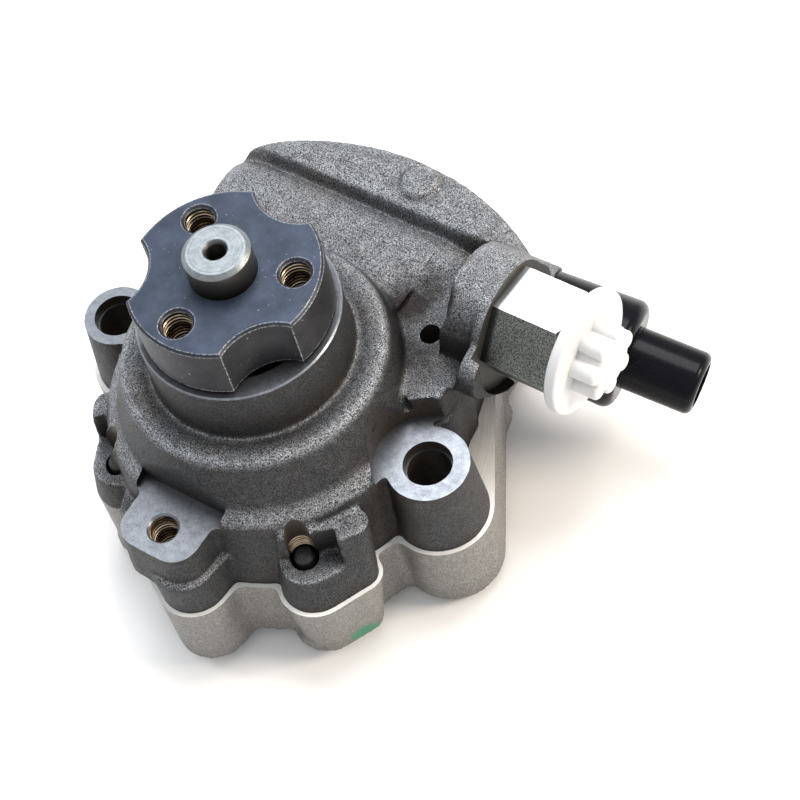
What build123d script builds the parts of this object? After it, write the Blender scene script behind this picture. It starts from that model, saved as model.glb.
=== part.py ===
from build123d import *

import math
import os

# Vane pump for power steering: iron front housing, aluminium rear cover, drive flange and ports.
# Millimetres. The origin is the centre of the drive flange's front face, +Z points out along the
# shaft, and +X points out of the pressure outlet. The pump stands on the heads of its cover screws.

os.makedirs("parts", exist_ok=True)

# Clearances
press_gap = 0.02  # pressed and located diameters, per side
slide_gap = 0.02  # vane faces in their slots
run_gap = 0.05  # shaft, spool and rotor faces that turn or slide
thread_gap = 0.05  # threaded pieces, per side, threads drawn plain

# Drive flange
flange_r = 26.0
flange_thick = 16.2
flange_hub_r = 14.0
flange_recess_r = 10.2
flange_recess_deep = 2.2
bolt_circle_r = 18.8
bolt_hole_count = 3
bolt_hole_angle = 25.2
tap_drill_r = 3.4
tap_mouth_r = 4.6
scallop_r = 14.0
scallop_ring_r = 34.4
flange_edge = 0.7

# Shaft
shaft_r = 9.0
press_seat_r = 9.3
shaft_end_z = 9.4
shaft_end_chamfer = 1.2
centre_hole_r = 2.6
centre_hole_mouth_r = 3.3
centre_hole_deep = 7.0
bearing_seat_r = 10.0
bearing_shoulder_r = 12.0
bearing_shoulder_long = 2.7
spline_tip_r = 8.3
spline_root_r = 7.3
spline_count = 16
journal_r = 6.5
bush_wall = 2.0

# Housing nose and bearing, read from the nose face backwards
nose_face_z = -17.5
nose_r = 27.6
circlip_z = -19.5
circlip_thick = 1.75
circlip_groove_deep = 1.1
circlip_reach = 1.9
circlip_offset = 0.6
lug_r = 2.0
lug_hole_r = 0.9
lug_x = 3.2
bearing_r = 21.0
bearing_wide = 12.0
ball_r = 3.175
ball_count = 9
cage_half = 4.4
cage_room = 0.15
cage_wall = 1.1  # half of the cage's width
seal_r = 16.0
seal_wide = 7.0
web_z = -45.2
shaft_hole_r = 9.6

# Cartridge, read from the cavity floor backwards
cavity_z = -50.0
cartridge_r = 34.0
front_plate_thick = 9.0
cam_thick = 20.0
rear_plate_thick = 11.0
stack_gap = 0.1
plate_gap = 0.1
cam_major = 25.2
cam_minor = 22.15
rotor_r = 22.0
vane_count = 10
vane_first_angle = 18.0
vane_thick = 1.8
vane_tall = 9.0
vane_back_room = 0.6
port_ring_r = 22.5
port_slot_wide = 4.0
port_slot_sweep = 34.0
dowel_r = 2.5
dowel_ring_r = 29.8
dowel_end_gap = 1.0
dowel_chamfer = 0.4

# Housing and cover outline
joint_z = -79.0
cover_back_z = -105.0
core_r = 48.0
ear_x = 52.5
ear_hole_r = 6.1
ear_step_hole_r = 5.2
ear_top_r = 11.4
ear_foot_r = 13.5
ear_left_top_r = 9.8
ear_left_foot_r = 12.0
ear_face_z = -55.0
ear_cutter_r = 15.0
pad_y = -49.8
pad_half_wide = 12.0
pad_outer_y = -58.0
pad_inner_y = -38.5
pad_root_y = -28.0
pad_foot_r = 9.6
pad_foot = ((4.8, -51.2), (-13.0, -41.0), (6.0, -38.0))
pad_skirt_z = -66.0
pad_thread_deep = 18.0
flank_tall = 22.0
flank_low = (43.0, 16.0)
flank_top = (36.0, 40.0)
flank_inner = 20.0
flank_r = 6.8
cover_proud = 1.2
cover_boss_r = 8.4
cover_wing = (41.8, -28.8)
cover_ear_r = 13.4
cover_ear_z = -108.0

cover_inner_r = 2.5
seal_groove_r = 37.0

# Cover screws
screw_right = (32.8, -34.4)
screw_left = (-30.5, -34.5)
screw_r = 4.0
screw_upper_left = (-41.0, 34.5)
screw_upper_right = (35.0, 41.0)
screw_lobe_inset = 10.0
screw_boss_foot = (34.5, -35.0)
screw_boss_foot_r = 9.8
screw_boss_top = (32.6, -33.4)
screw_boss_top_r = 6.0
screw_wing_foot = (44.2, -27.0)
screw_wing_top = (43.3, -22.8)
screw_wing_r = 4.6
screw_wing_top_r = 4.0
screw_left_foot = (-31.3, -34.3)
screw_left_foot_r = 9.0
screw_left_top = (-30.3, -33.6)
screw_left_top_r = 6.6
screw_left_wing = (-39.2, -24.3)
screw_boss_top_z = -57.5
screw_ledge_z = -68.0
screw_ledge_inset = 0.6
screw_ledge_half_wide = 10.0
screw_ledge_reach = 30.0
screw_tip_z = -62.5
screw_relief_r = 4.6
screw_relief_top_z = -58.5
screw_head_flat = 13.0
screw_flange_r = 8.6
screw_flange_thick = 1.6
screw_head_tall = 5.3
screw_seat_deep = 1.3

# Suction lobe
lobe_r = 80.0
lobe_centre = (4.0, -3.3)
lobe_left_x = -49.0
lobe_right_x = 56.0
lobe_joint_x = 44.0
lobe_cover_x = 38.0
lobe_low_y = 15.0
lobe_step_y = 47.0
lobe_corner_r = 9.0
lobe_low_z = -46.0
lobe_plateau_z = -42.5
lobe_plateau_x = 24.0
lobe_rim_z = -39.8
lobe_rim_y = 59.5
lobe_draft = 2.0
lobe_skirt = 1.3
lobe_disc = (8.3, 69.2)
lobe_disc_r = 5.5
lobe_disc_tall = 0.7
chamber_low_y = 50.0
chamber_high_y = 62.0
chamber_x = (-30.0, 36.0)
chamber_top_z = -68.5

# Small drilling in the shoulder between the port and the right ear
drilling = (35.4, 30.6)
drilling_r = 3.0
drilling_deep = 9.0

# Pressure port
port_face_x = 54.0
port_y = 43.1
port_z = -43.2
port_boss_r = 17.6
port_boss_back_x = 41.0
port_spot_r = 20.5
port_spot_out = 12.0
port_foot_r = 8.5
port_foot = ((27, -44), (36, -54), (54, -56), (54, -43))
port_foot_long = 12.0
saddle = ((42.8, 16.0), (42.0, 25.0), (24.0, 40.0))
saddle_r = 6.0
saddle_z = -46.0
union_thread_r = 10.9
union_thread_long = 13.0
union_flat = 27.8
union_long = 20.6
union_vertex_angle = 53.0
union_bore_r = 5.0
union_mouth_r = 7.2
union_mouth_deep = 14.0

# Flow valve
valve_y = 50.5
valve_z = -57.5
valve_bore_r = 8.0
valve_mouth_x = -47.6
valve_end_x = 29.0
valve_passage = (46.0, -50.5)
valve_passage_r = 3.0
valve_plug_r = 9.4
valve_plug_long = 11.0
valve_plug_key = 8.0
spool_long = 28.0
spool_nose_long = 3.0
spool_travel = 8.0
spring_wire_r = 0.8
spring_r = 5.2
spring_turns = 6
spring_seat_deep = 5.0

# Outlet cap
cap_flange_r = 17.8
cap_flange_thick = 3.4
cap_plug_long = 11.0
cap_knob_r = 7.9
cap_lobe_r = 2.7
cap_lobe_count = 7
cap_knob_long = 7.5

# Inlet connector
inlet_root = (49.5, 59.9, -69.1)
inlet_way = (1.0, 0.14, -0.2)
inlet_root_r = 9.0
inlet_root_long = 9.0
inlet_barrel_r = 15.0
inlet_barrel_long = 27.3
inlet_spigot_r = 9.1
inlet_spigot_long = 20.9
inlet_bore_r = 6.4
inlet_boss_r = 16.0
inlet_boss_long = 17.0
inlet_cut_long = 14.0
inlet_passage_r = 6.0
inlet_passage_long = 17.0
inlet_room = 0.8
inlet_shoulder_r = 3.3
inlet_end_r = 2.2
oring_r = 1.2

# Worked-out places
shoulder_z = circlip_z - circlip_thick - bearing_wide
bearing_mid_z = circlip_z - circlip_thick - bearing_wide / 2
cam_z = cavity_z - stack_gap - front_plate_thick
rear_plate_z = cam_z - cam_thick
bush_z = rear_plate_z - rear_plate_thick - 1.5
bush_wide = 9.0
shaft_back_z = bush_z - bush_wide + 1.0
seat_z = cover_back_z + screw_seat_deep
screw_low = [screw_right, screw_left]
screw_upper = (screw_upper_left, (0.0, lobe_r - screw_lobe_inset), screw_upper_right)
screw_places = screw_low + list(screw_upper)
lug_places = [(side * lug_x, -bearing_r + 3.4) for side in (-1, 1)]
scallop_angle = bolt_hole_angle + 180 / bolt_hole_count
seat_top_z = circlip_z - circlip_thick + 1.0
hub_long = -seat_top_z - flange_thick
spline_wide = math.pi * spline_tip_r / spline_count
bearing_pitch_r = (bearing_r + bearing_seat_r) / 2
port_angles = [45, 135, 225, 315]
spline_end_z = rear_plate_z + 0.3
rotor_long = cam_thick - 2 * run_gap - stack_gap
slot_root_r = rotor_r - vane_tall - vane_back_room
slot_long = rotor_r + 1 - slot_root_r
slot_mid_r = slot_root_r + slot_long / 2
vane_top_z = cam_z - run_gap - stack_gap
vane_long = rotor_long
spool_r = valve_bore_r - run_gap
spool_x = valve_end_x - spool_long - 0.3
spring_x = valve_mouth_x + valve_plug_long + spring_wire_r
spring_long = spool_x + spring_seat_deep - spring_wire_r - spring_x
hex_corner_r = union_flat / 2 / math.cos(math.pi / 6) + 0.1
union_plane = Plane(
    origin=(port_face_x, port_y, port_z), x_dir=(0, 1, 0), z_dir=(1, 0, 0)
)
cap_plane = union_plane.offset(union_long)
port_section = Plane(origin=(0, port_y, port_z), x_dir=(1, 0, 0), z_dir=(0, -1, 0))
port_axis = Axis((0, port_y, port_z), (1, 0, 0))
spool_plane = Plane(origin=(spool_x, valve_y, valve_z), x_dir=(0, 1, 0), z_dir=(1, 0, 0))
port_plane = Plane(origin=(port_face_x, 0, 0), x_dir=(0, 1, 0), z_dir=(1, 0, 0))
valve_plane = Plane(
    origin=(valve_mouth_x, valve_y, valve_z), x_dir=(0, 1, 0), z_dir=(1, 0, 0)
)
inlet_plane = Plane(origin=inlet_root, x_dir=(0, 1, 0), z_dir=inlet_way)


def boss_outline(side, boss, boss_r, wing, wing_r, room=0.0):
    """Adds the plan of a lower screw boss and its wing to the open sketch."""
    with Locations(boss):
        Circle(boss_r + room)
    with Locations(wing):
        Circle(wing_r + room)
    with Locations((side * flank_inner, -flank_inner)):
        Circle(screw_wing_r + room)
    make_hull()


def cover_outline(grow, room):
    """Adds the outline of the cover's back, grown from the housing's and once more by the room."""
    full = grow + room
    Circle(core_r + full)
    for side, foot_r, boss, boss_r, wing in (
        (1, ear_foot_r, screw_boss_foot, cover_boss_r, cover_wing),
        (-1, ear_left_foot_r, screw_left_foot, screw_left_foot_r, screw_left_wing),
    ):
        with Locations((side * ear_x, 0)):
            Circle(foot_r + full)
        with BuildSketch(mode=Mode.PRIVATE) as screw_boss:
            boss_outline(side, boss, boss_r, wing, screw_wing_r, room)
        add(screw_boss.sketch)
        with BuildSketch(mode=Mode.PRIVATE) as flank:
            with Locations((side * ear_x, 0)):
                Circle(foot_r + full)
            with Locations((side * flank_top[0], flank_top[1])):
                Circle(flank_r + full)
            with Locations((side * flank_inner, flank_inner)):
                Circle(flank_r + room)
            make_hull()
        add(flank.sketch)
    with BuildSketch(mode=Mode.PRIVATE) as pad:
        pad_outline(full)
    add(pad.sketch)
    with BuildSketch(mode=Mode.PRIVATE) as lobe:
        lobe_outline(lobe_r + lobe_skirt + grow, lobe_cover_x + grow, room)
    add(lobe.sketch)


def pad_outline(grow):
    """Adds the foot of the lower pad, slanted on its left, to the open sketch."""
    with Locations(*pad_foot):
        Circle(pad_foot_r + grow)
    make_hull()


def lobe_outline(radius, right_x, room=0.0):
    """Adds the fan-shaped plan of the suction lobe to the open sketch."""
    with Locations(lobe_centre):
        Circle(radius + room)
    with Locations((lobe_left_x - room, lobe_low_y - room)):
        Rectangle(
            right_x - lobe_left_x + 2 * room,
            2 * radius,
            align=(Align.MIN, Align.MIN),
            mode=Mode.INTERSECT,
        )
    corners = vertices().group_by(Axis.Y)[-1] + vertices().group_by(Axis.Y)[-2]
    fillet(corners, lobe_corner_r + room)


# Front housing: collar, dome and screw flange turned about the shaft
with BuildPart() as front_housing:
    with BuildSketch(Plane.XZ):
        with BuildLine():
            FilletPolyline(
                (nose_r, nose_face_z),
                (nose_r, -33),
                (36.6, -36),
                (41.2, -51),
                (45, -54.5),
                (core_r, joint_z),
                radius=[3, 3, 4, 2.5],
            )
            Polyline((core_r, joint_z), (0, joint_z), (0, nose_face_z), (nose_r, nose_face_z))
        make_face()
    revolve(axis=Axis.Z)

    # Ears, screw bosses with their wings, and the flanks up to the lobe
    for side, top_r, foot_r, boss, boss_r, wing, high_boss, high_r, high_wing in (
        (
            1,
            ear_top_r,
            ear_foot_r,
            screw_boss_foot,
            screw_boss_foot_r,
            screw_wing_foot,
            screw_boss_top,
            screw_boss_top_r,
            screw_wing_top,
        ),
        (
            -1,
            ear_left_top_r,
            ear_left_foot_r,
            screw_left_foot,
            screw_left_foot_r,
            screw_left_wing,
            screw_left_top,
            screw_left_top_r,
            screw_left_wing,
        ),
    ):
        with Locations((side * ear_x, 0, (ear_face_z + joint_z) / 2)):
            Cone(foot_r, top_r, ear_face_z - joint_z)
        with BuildSketch(Plane.XY.offset(joint_z)):
            boss_outline(side, boss, boss_r, wing, screw_wing_r)
        with BuildSketch(Plane.XY.offset(screw_boss_top_z)):
            boss_outline(side, high_boss, high_r, high_wing, screw_wing_top_r)
        loft(ruled=True)
        with BuildSketch(Plane.XY.offset(joint_z)):
            with Locations((side * flank_low[0], flank_low[1]), (side * flank_top[0], flank_top[1])):
                Circle(flank_r)
            with Locations((side * flank_inner, flank_inner)):
                Circle(flank_r)
            make_hull()
        extrude(amount=flank_tall)

    # Lower pad
    with BuildSketch(Plane.XY.offset(joint_z)):
        pad_outline(0)
    extrude(amount=pad_skirt_z - joint_z)
    for level, wide, outer in (
        (pad_skirt_z - 6, pad_half_wide + 1.2, pad_outer_y - 1.2),
        (ear_face_z, pad_half_wide, pad_outer_y),
    ):
        with BuildSketch(Plane.XY.offset(level)):
            with Locations((0, (outer + pad_root_y) / 2)):
                RectangleRounded(2 * wide, pad_root_y - outer, 0.6 * wide)
    loft(ruled=True)

    # Suction lobe: low floor, plateau beside the collar and raised rim band
    with BuildSketch(Plane.XY.offset(joint_z)):
        lobe_outline(lobe_r + lobe_skirt, lobe_joint_x)
    extrude(amount=lobe_low_z - joint_z, taper=lobe_draft)
    with BuildSketch(Plane.XY.offset(joint_z)):
        lobe_outline(lobe_r + lobe_skirt, lobe_right_x)
        with Locations((0, lobe_step_y)):
            Rectangle(
                4 * lobe_r,
                4 * lobe_r,
                align=(Align.CENTER, Align.MAX),
                mode=Mode.SUBTRACT,
            )
    extrude(amount=lobe_low_z - joint_z, taper=lobe_draft)
    with BuildSketch(Plane.XY.offset(lobe_low_z - 1)):
        lobe_outline(lobe_r + 0.3, lobe_plateau_x)
    extrude(amount=lobe_plateau_z - lobe_low_z + 1, taper=6)
    with BuildSketch(Plane.XY.offset(lobe_low_z - 1)):
        lobe_outline(lobe_r + 0.3, lobe_right_x - 1)
        with Locations((0, lobe_rim_y - 3)):
            Rectangle(
                4 * lobe_r,
                4 * lobe_r,
                align=(Align.CENTER, Align.MAX),
                mode=Mode.SUBTRACT,
            )
    extrude(amount=lobe_rim_z - lobe_low_z + 1, taper=8)
    with Locations((*lobe_disc, lobe_rim_z - 1)):
        Cylinder(
            lobe_disc_r,
            lobe_disc_tall + 1,
            align=(Align.CENTER, Align.CENTER, Align.MIN),
        )

    # Port boss and the block below it
    with BuildSketch(port_plane):
        with Locations((port_y, port_z)):
            Circle(port_boss_r)
    extrude(amount=-(port_face_x - port_boss_back_x))
    with BuildSketch(port_plane):
        with Locations(*port_foot):
            Circle(port_foot_r)
        make_hull()
    extrude(amount=-port_foot_long)
    with BuildSketch(Plane.XY.offset(joint_z)):
        with Locations(*saddle):
            Circle(saddle_r)
        make_hull()
    extrude(amount=saddle_z - joint_z)
    with BuildSketch(inlet_plane):
        Circle(inlet_boss_r)
    extrude(amount=-inlet_boss_long)
    with Locations((0, 0, joint_z)):
        Box(
            6 * core_r,
            6 * core_r,
            core_r,
            align=(Align.CENTER, Align.CENTER, Align.MAX),
            mode=Mode.SUBTRACT,
        )

    # Spot face around the port
    with BuildSketch(port_plane):
        with Locations((port_y, port_z)):
            Circle(port_spot_r)
    extrude(amount=port_spot_out, mode=Mode.SUBTRACT)

    # Ledge beside each lower screw tip
    for place in screw_low:
        turn = math.degrees(math.atan2(place[1], place[0]))
        with Locations(Location((0, 0, screw_ledge_z), (0, 0, turn))):
            with Locations((math.hypot(*place) - screw_ledge_inset, 0, 0)):
                Box(
                    screw_ledge_reach,
                    2 * screw_ledge_half_wide,
                    screw_ledge_reach,
                    align=(Align.MIN, Align.CENTER, Align.MIN),
                    mode=Mode.SUBTRACT,
                )

    # Spot faces over the ears and the lower pad
    with Locations((ear_x, 0, ear_face_z), (-ear_x, 0, ear_face_z)):
        Cylinder(
            ear_cutter_r,
            -ear_face_z,
            align=(Align.CENTER, Align.CENTER, Align.MIN),
            mode=Mode.SUBTRACT,
        )
    with Locations((0, pad_inner_y, ear_face_z)):
        Box(
            2 * pad_half_wide + 4,
            2 * (pad_inner_y - pad_outer_y),
            -ear_face_z,
            align=(Align.CENTER, Align.MAX, Align.MIN),
            mode=Mode.SUBTRACT,
        )

    # Bores for the bearing, seal, shaft and cartridge
    with BuildSketch(Plane.XZ):
        with BuildLine():
            Polyline(
                (0, nose_face_z),
                (bearing_r + 0.7, nose_face_z),
                (bearing_r, nose_face_z - 1.2),
                (bearing_r, circlip_z),
                (bearing_r + circlip_groove_deep, circlip_z),
                (bearing_r + circlip_groove_deep, circlip_z - circlip_thick),
                (bearing_r, circlip_z - circlip_thick),
                (bearing_r, shoulder_z),
                (seal_r + 1.5, shoulder_z),
                (seal_r + 1.5, web_z + seal_wide + 0.6),
                (seal_r, web_z + seal_wide),
                (seal_r, web_z),
                (shaft_hole_r, web_z),
                (shaft_hole_r, cavity_z),
                (cartridge_r, cavity_z),
                (cartridge_r, joint_z),
                (0, joint_z),
                close=True,
            )
        make_face()
    revolve(axis=Axis.Z, mode=Mode.SUBTRACT)

    # Ear holes, tapped pad hole, screw holes and the relief over each lower screw tip
    with Locations((ear_x, 0, ear_face_z), (-ear_x, 0, ear_face_z)):
        Hole(ear_hole_r, depth=ear_face_z - joint_z)
    with Locations((0, pad_y, ear_face_z)):
        CounterSinkHole(tap_drill_r, tap_mouth_r - 0.4, depth=pad_thread_deep)
    for place in screw_low:
        with Locations((*place, screw_ledge_z)):
            Cylinder(
                screw_relief_r,
                screw_relief_top_z - screw_ledge_z,
                align=(Align.CENTER, Align.CENTER, Align.MIN),
                mode=Mode.SUBTRACT,
            )
            Hole(screw_r + press_gap, depth=screw_ledge_z - joint_z)
    for place in screw_upper:
        with Locations((*place, joint_z)):
            Cylinder(
                screw_r + press_gap,
                screw_tip_z - joint_z + 1.5,
                align=(Align.CENTER, Align.CENTER, Align.MIN),
                mode=Mode.SUBTRACT,
            )

    # Port thread, its passage to the flow valve bore, cross drilling and suction chamber
    with BuildSketch(port_plane):
        with Locations((port_y, port_z)):
            Circle(union_thread_r + thread_gap)
    extrude(amount=-union_thread_long - 0.5, mode=Mode.SUBTRACT)
    with BuildSketch(port_plane):
        with Locations(valve_passage):
            Circle(valve_passage_r)
    extrude(amount=-(port_face_x - valve_end_x + 6), mode=Mode.SUBTRACT)
    with BuildSketch(valve_plane):
        Circle(valve_bore_r)
    extrude(amount=valve_end_x - valve_mouth_x, mode=Mode.SUBTRACT)
    with BuildSketch(valve_plane):
        Circle(valve_plug_r + thread_gap)
    extrude(amount=valve_plug_long, both=True, mode=Mode.SUBTRACT)
    with Locations((*drilling, saddle_z + 5)):
        Cylinder(
            drilling_r,
            drilling_deep + 5,
            align=(Align.CENTER, Align.CENTER, Align.MAX),
            mode=Mode.SUBTRACT,
        )
    with BuildSketch(Plane.XY.offset(joint_z)):
        with Locations((sum(chamber_x) / 2, (chamber_low_y + chamber_high_y) / 2)):
            RectangleRounded(chamber_x[1] - chamber_x[0], chamber_high_y - chamber_low_y, 4)
    extrude(amount=chamber_top_z - joint_z, mode=Mode.SUBTRACT)
    with BuildSketch(inlet_plane):
        Circle(inlet_barrel_r + inlet_room)
    extrude(amount=inlet_cut_long, mode=Mode.SUBTRACT)
    with BuildSketch(inlet_plane):
        Circle(inlet_root_r + press_gap)
    extrude(amount=-inlet_root_long - 0.5, mode=Mode.SUBTRACT)
    with BuildSketch(inlet_plane):
        Circle(inlet_passage_r)
    extrude(amount=-inlet_passage_long, mode=Mode.SUBTRACT)
front_housing.part.label = "front_housing"
export_step(front_housing.part, "parts/front_housing.step")


# Rear cover: drafted outline with the cartridge well, bush seat and screw seats
with BuildPart() as rear_cover:
    with BuildSketch(Plane.XY.offset(cover_back_z)):
        cover_outline(cover_proud, cover_inner_r)
        offset(amount=-cover_inner_r)
    extrude(amount=joint_z - cover_back_z)
    with BuildSketch(Plane.XY.offset(cover_back_z)):
        boss_outline(1, screw_boss_foot, cover_boss_r, cover_wing, screw_wing_r)
    with BuildSketch(Plane.XY.offset(joint_z)):
        boss_outline(
            1,
            screw_boss_foot,
            screw_boss_foot_r + cover_proud,
            screw_wing_foot,
            screw_wing_r + cover_proud,
        )
    loft(ruled=True)
    with Locations((ear_x, 0, joint_z), (-ear_x, 0, joint_z)):
        Cylinder(
            cover_ear_r,
            joint_z - cover_ear_z,
            align=(Align.CENTER, Align.CENTER, Align.MAX),
        )
    with Locations((0, 0, joint_z)):
        Cylinder(
            cartridge_r,
            joint_z - bush_z,
            align=(Align.CENTER, Align.CENTER, Align.MAX),
            mode=Mode.SUBTRACT,
        )
    with Locations((0, 0, bush_z)):
        Cylinder(
            journal_r + bush_wall,
            bush_wide,
            align=(Align.CENTER, Align.CENTER, Align.MAX),
            mode=Mode.SUBTRACT,
        )
    with Locations((ear_x, 0, joint_z), (-ear_x, 0, joint_z)):
        Hole(ear_step_hole_r, depth=joint_z - cover_ear_z)
    with Locations(*[(x, y, cover_back_z) for x, y in screw_places]):
        Cylinder(
            screw_flange_r + 0.8,
            screw_seat_deep,
            align=(Align.CENTER, Align.CENTER, Align.MIN),
            mode=Mode.SUBTRACT,
        )
    with Locations(*[(x, y, joint_z) for x, y in screw_places]):
        Hole(screw_r + 0.4, depth=joint_z - cover_back_z)
    with Locations((0, 0, joint_z)):
        with BuildSketch(Plane.XY.offset(joint_z)):
            Circle(seal_groove_r + oring_r)
            Circle(seal_groove_r - oring_r, mode=Mode.SUBTRACT)
    extrude(amount=-1.7 * oring_r, mode=Mode.SUBTRACT)
rear_cover.part.label = "rear_cover"
export_step(rear_cover.part, "parts/rear_cover.step")

# O-ring between the housing and the cover, pressed slightly flat by its groove
with BuildPart() as cover_o_ring:
    with BuildSketch(Plane.XZ):
        with Locations((seal_groove_r, joint_z - 0.85 * oring_r)):
            Ellipse(0.98 * oring_r, 0.83 * oring_r)
    revolve(axis=Axis.Z)
cover_o_ring.part.label = "cover_o_ring"
export_step(cover_o_ring.part, "parts/cover_o_ring.step")

# Drive flange with three tapped holes and three scallops
with BuildPart() as drive_flange:
    with Locations((0, 0, -flange_thick)):
        Cylinder(flange_r, flange_thick, align=(Align.CENTER, Align.CENTER, Align.MIN))
        Cylinder(
            flange_hub_r,
            hub_long,
            align=(Align.CENTER, Align.CENTER, Align.MAX),
        )
    with PolarLocations(scallop_ring_r, bolt_hole_count, start_angle=scallop_angle):
        Cylinder(scallop_r, 4 * flange_thick, mode=Mode.SUBTRACT)
    chamfer(faces().sort_by(Axis.Z)[-1].edges(), flange_edge)
    with PolarLocations(bolt_circle_r, bolt_hole_count, start_angle=bolt_hole_angle):
        Hole(tap_drill_r)
        with Locations((0, 0, 0)):
            Cone(
                tap_drill_r,
                tap_mouth_r,
                tap_mouth_r - tap_drill_r,
                align=(Align.CENTER, Align.CENTER, Align.MAX),
                mode=Mode.SUBTRACT,
            )
    CounterBoreHole(press_seat_r + press_gap, flange_recess_r, flange_recess_deep)
drive_flange.part.label = "drive_flange"
export_step(drive_flange.part, "parts/drive_flange.step")

# Shaft, turned in steps, with splines for the rotor and a centre hole in its end
with BuildPart() as drive_shaft:
    with BuildSketch(Plane.XZ):
        with BuildLine():
            Polyline(
                (0, shaft_end_z),
                (shaft_r - shaft_end_chamfer, shaft_end_z),
                (shaft_r, shaft_end_z - shaft_end_chamfer),
                (shaft_r, 0),
                (press_seat_r, 0),
                (press_seat_r, seat_top_z),
                (bearing_seat_r, seat_top_z),
                (bearing_seat_r, shoulder_z),
                (bearing_shoulder_r, shoulder_z),
                (bearing_shoulder_r, shoulder_z - bearing_shoulder_long),
                (shaft_r, shoulder_z - bearing_shoulder_long),
                (shaft_r, cavity_z + 1),
                (spline_tip_r, cavity_z),
                (spline_tip_r, spline_end_z),
                (journal_r, spline_end_z),
                (journal_r, shaft_back_z + 1),
                (journal_r - 1, shaft_back_z),
                (0, shaft_back_z),
                close=True,
            )
        make_face()
    revolve(axis=Axis.Z)
    with BuildSketch(Plane.XZ):
        with BuildLine():
            Polyline(
                (0, shaft_end_z),
                (centre_hole_mouth_r, shaft_end_z),
                (centre_hole_r, shaft_end_z - 1.2),
                (centre_hole_r, shaft_end_z - centre_hole_deep),
                (0, shaft_end_z - centre_hole_deep - 1.5),
                close=True,
            )
        make_face()
    revolve(axis=Axis.Z, mode=Mode.SUBTRACT)
    with BuildSketch(Plane.XY.offset(spline_end_z)):
        with PolarLocations(spline_tip_r, spline_count):
            Rectangle(2 * (spline_tip_r - spline_root_r), spline_wide)
    extrude(amount=cam_thick, mode=Mode.SUBTRACT)
drive_shaft.part.label = "drive_shaft"
export_step(drive_shaft.part, "parts/drive_shaft.step")


def turned_ring(points, smooth=0):
    """Revolves a closed section, given as radius and height, about the shaft axis."""
    with BuildSketch(Plane.XZ) as section:
        with BuildLine() as outline:
            Polyline(*points, close=True)
        make_face(outline.edges())
        if smooth:
            fillet(section.vertices(), smooth)
    revolve(section.sketch, axis=Axis.Z)


# Ball bearing: grooved rings, balls and their cage
race_half = bearing_wide / 2 - 0.05
race_shoulder = 2.3
for name, inner, outer in (
    ("bearing_outer_ring", bearing_pitch_r + race_shoulder, bearing_r - press_gap),
    ("bearing_inner_ring", bearing_seat_r + press_gap, bearing_pitch_r - race_shoulder),
):
    with BuildPart() as ring:
        turned_ring(
            [
                (inner, bearing_mid_z - race_half),
                (outer, bearing_mid_z - race_half),
                (outer, bearing_mid_z + race_half),
                (inner, bearing_mid_z + race_half),
            ],
            smooth=0.4,
        )
        with BuildSketch(Plane.XZ):
            with Locations((bearing_pitch_r, bearing_mid_z)):
                Circle(ball_r + run_gap)
        revolve(axis=Axis.Z, mode=Mode.SUBTRACT)
    ring.part.label = name
    export_step(ring.part, f"parts/{name}.step")

with BuildPart() as bearing_balls:
    with Locations((0, 0, bearing_mid_z)):
        with PolarLocations(bearing_pitch_r, ball_count):
            Sphere(ball_r)
bearing_balls.part.label = "bearing_balls"
export_step(bearing_balls.part, "parts/bearing_balls.step")

with BuildPart() as bearing_cage:
    turned_ring(
        [
            (bearing_pitch_r - cage_wall, bearing_mid_z - cage_half),
            (bearing_pitch_r + cage_wall, bearing_mid_z - cage_half),
            (bearing_pitch_r + cage_wall, bearing_mid_z + cage_half),
            (bearing_pitch_r - cage_wall, bearing_mid_z + cage_half),
        ]
    )
    with Locations((0, 0, bearing_mid_z)):
        with PolarLocations(bearing_pitch_r, ball_count):
            Cylinder(ball_r + cage_room, 6, rotation=(0, 90, 0), mode=Mode.SUBTRACT)
bearing_cage.part.label = "bearing_cage"
export_step(bearing_cage.part, "parts/bearing_cage.step")

# Circlip in the nose bore: an open ring with two drilled lugs
with BuildPart() as bearing_circlip:
    with BuildSketch(Plane.XY.offset(circlip_z - circlip_thick + press_gap)):
        Circle(bearing_r + circlip_groove_deep - 0.1)
        with Locations((0, circlip_offset)):
            Circle(bearing_r - circlip_reach, mode=Mode.SUBTRACT)
        with Locations(*lug_places):
            Circle(lug_r)
        with Locations((0, -bearing_r)):
            Rectangle(lug_r + 1.2, 9, mode=Mode.SUBTRACT)
        with Locations(*lug_places):
            Circle(lug_hole_r, mode=Mode.SUBTRACT)
    extrude(amount=circlip_thick - 2 * press_gap)
bearing_circlip.part.label = "bearing_circlip"
export_step(bearing_circlip.part, "parts/bearing_circlip.step")

# Shaft seal: case pressed in the housing, lip on the shaft
with BuildPart() as shaft_seal:
    turned_ring(
        [
            (seal_r - press_gap, web_z),
            (seal_r - press_gap, web_z + seal_wide),
            (shaft_r + 3, web_z + seal_wide),
            (shaft_r + 3, web_z + seal_wide - 1.4),
            (seal_r - 2, web_z + seal_wide - 1.4),
            (seal_r - 2, web_z + 2.6),
            (shaft_r + 1.8, web_z + 2.6),
            (shaft_r + 1.6, web_z + 4.4),
            (shaft_r + run_gap, web_z + 3.6),
            (shaft_r + 0.9, web_z),
        ]
    )
shaft_seal.part.label = "shaft_seal"
export_step(shaft_seal.part, "parts/shaft_seal.step")


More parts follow.
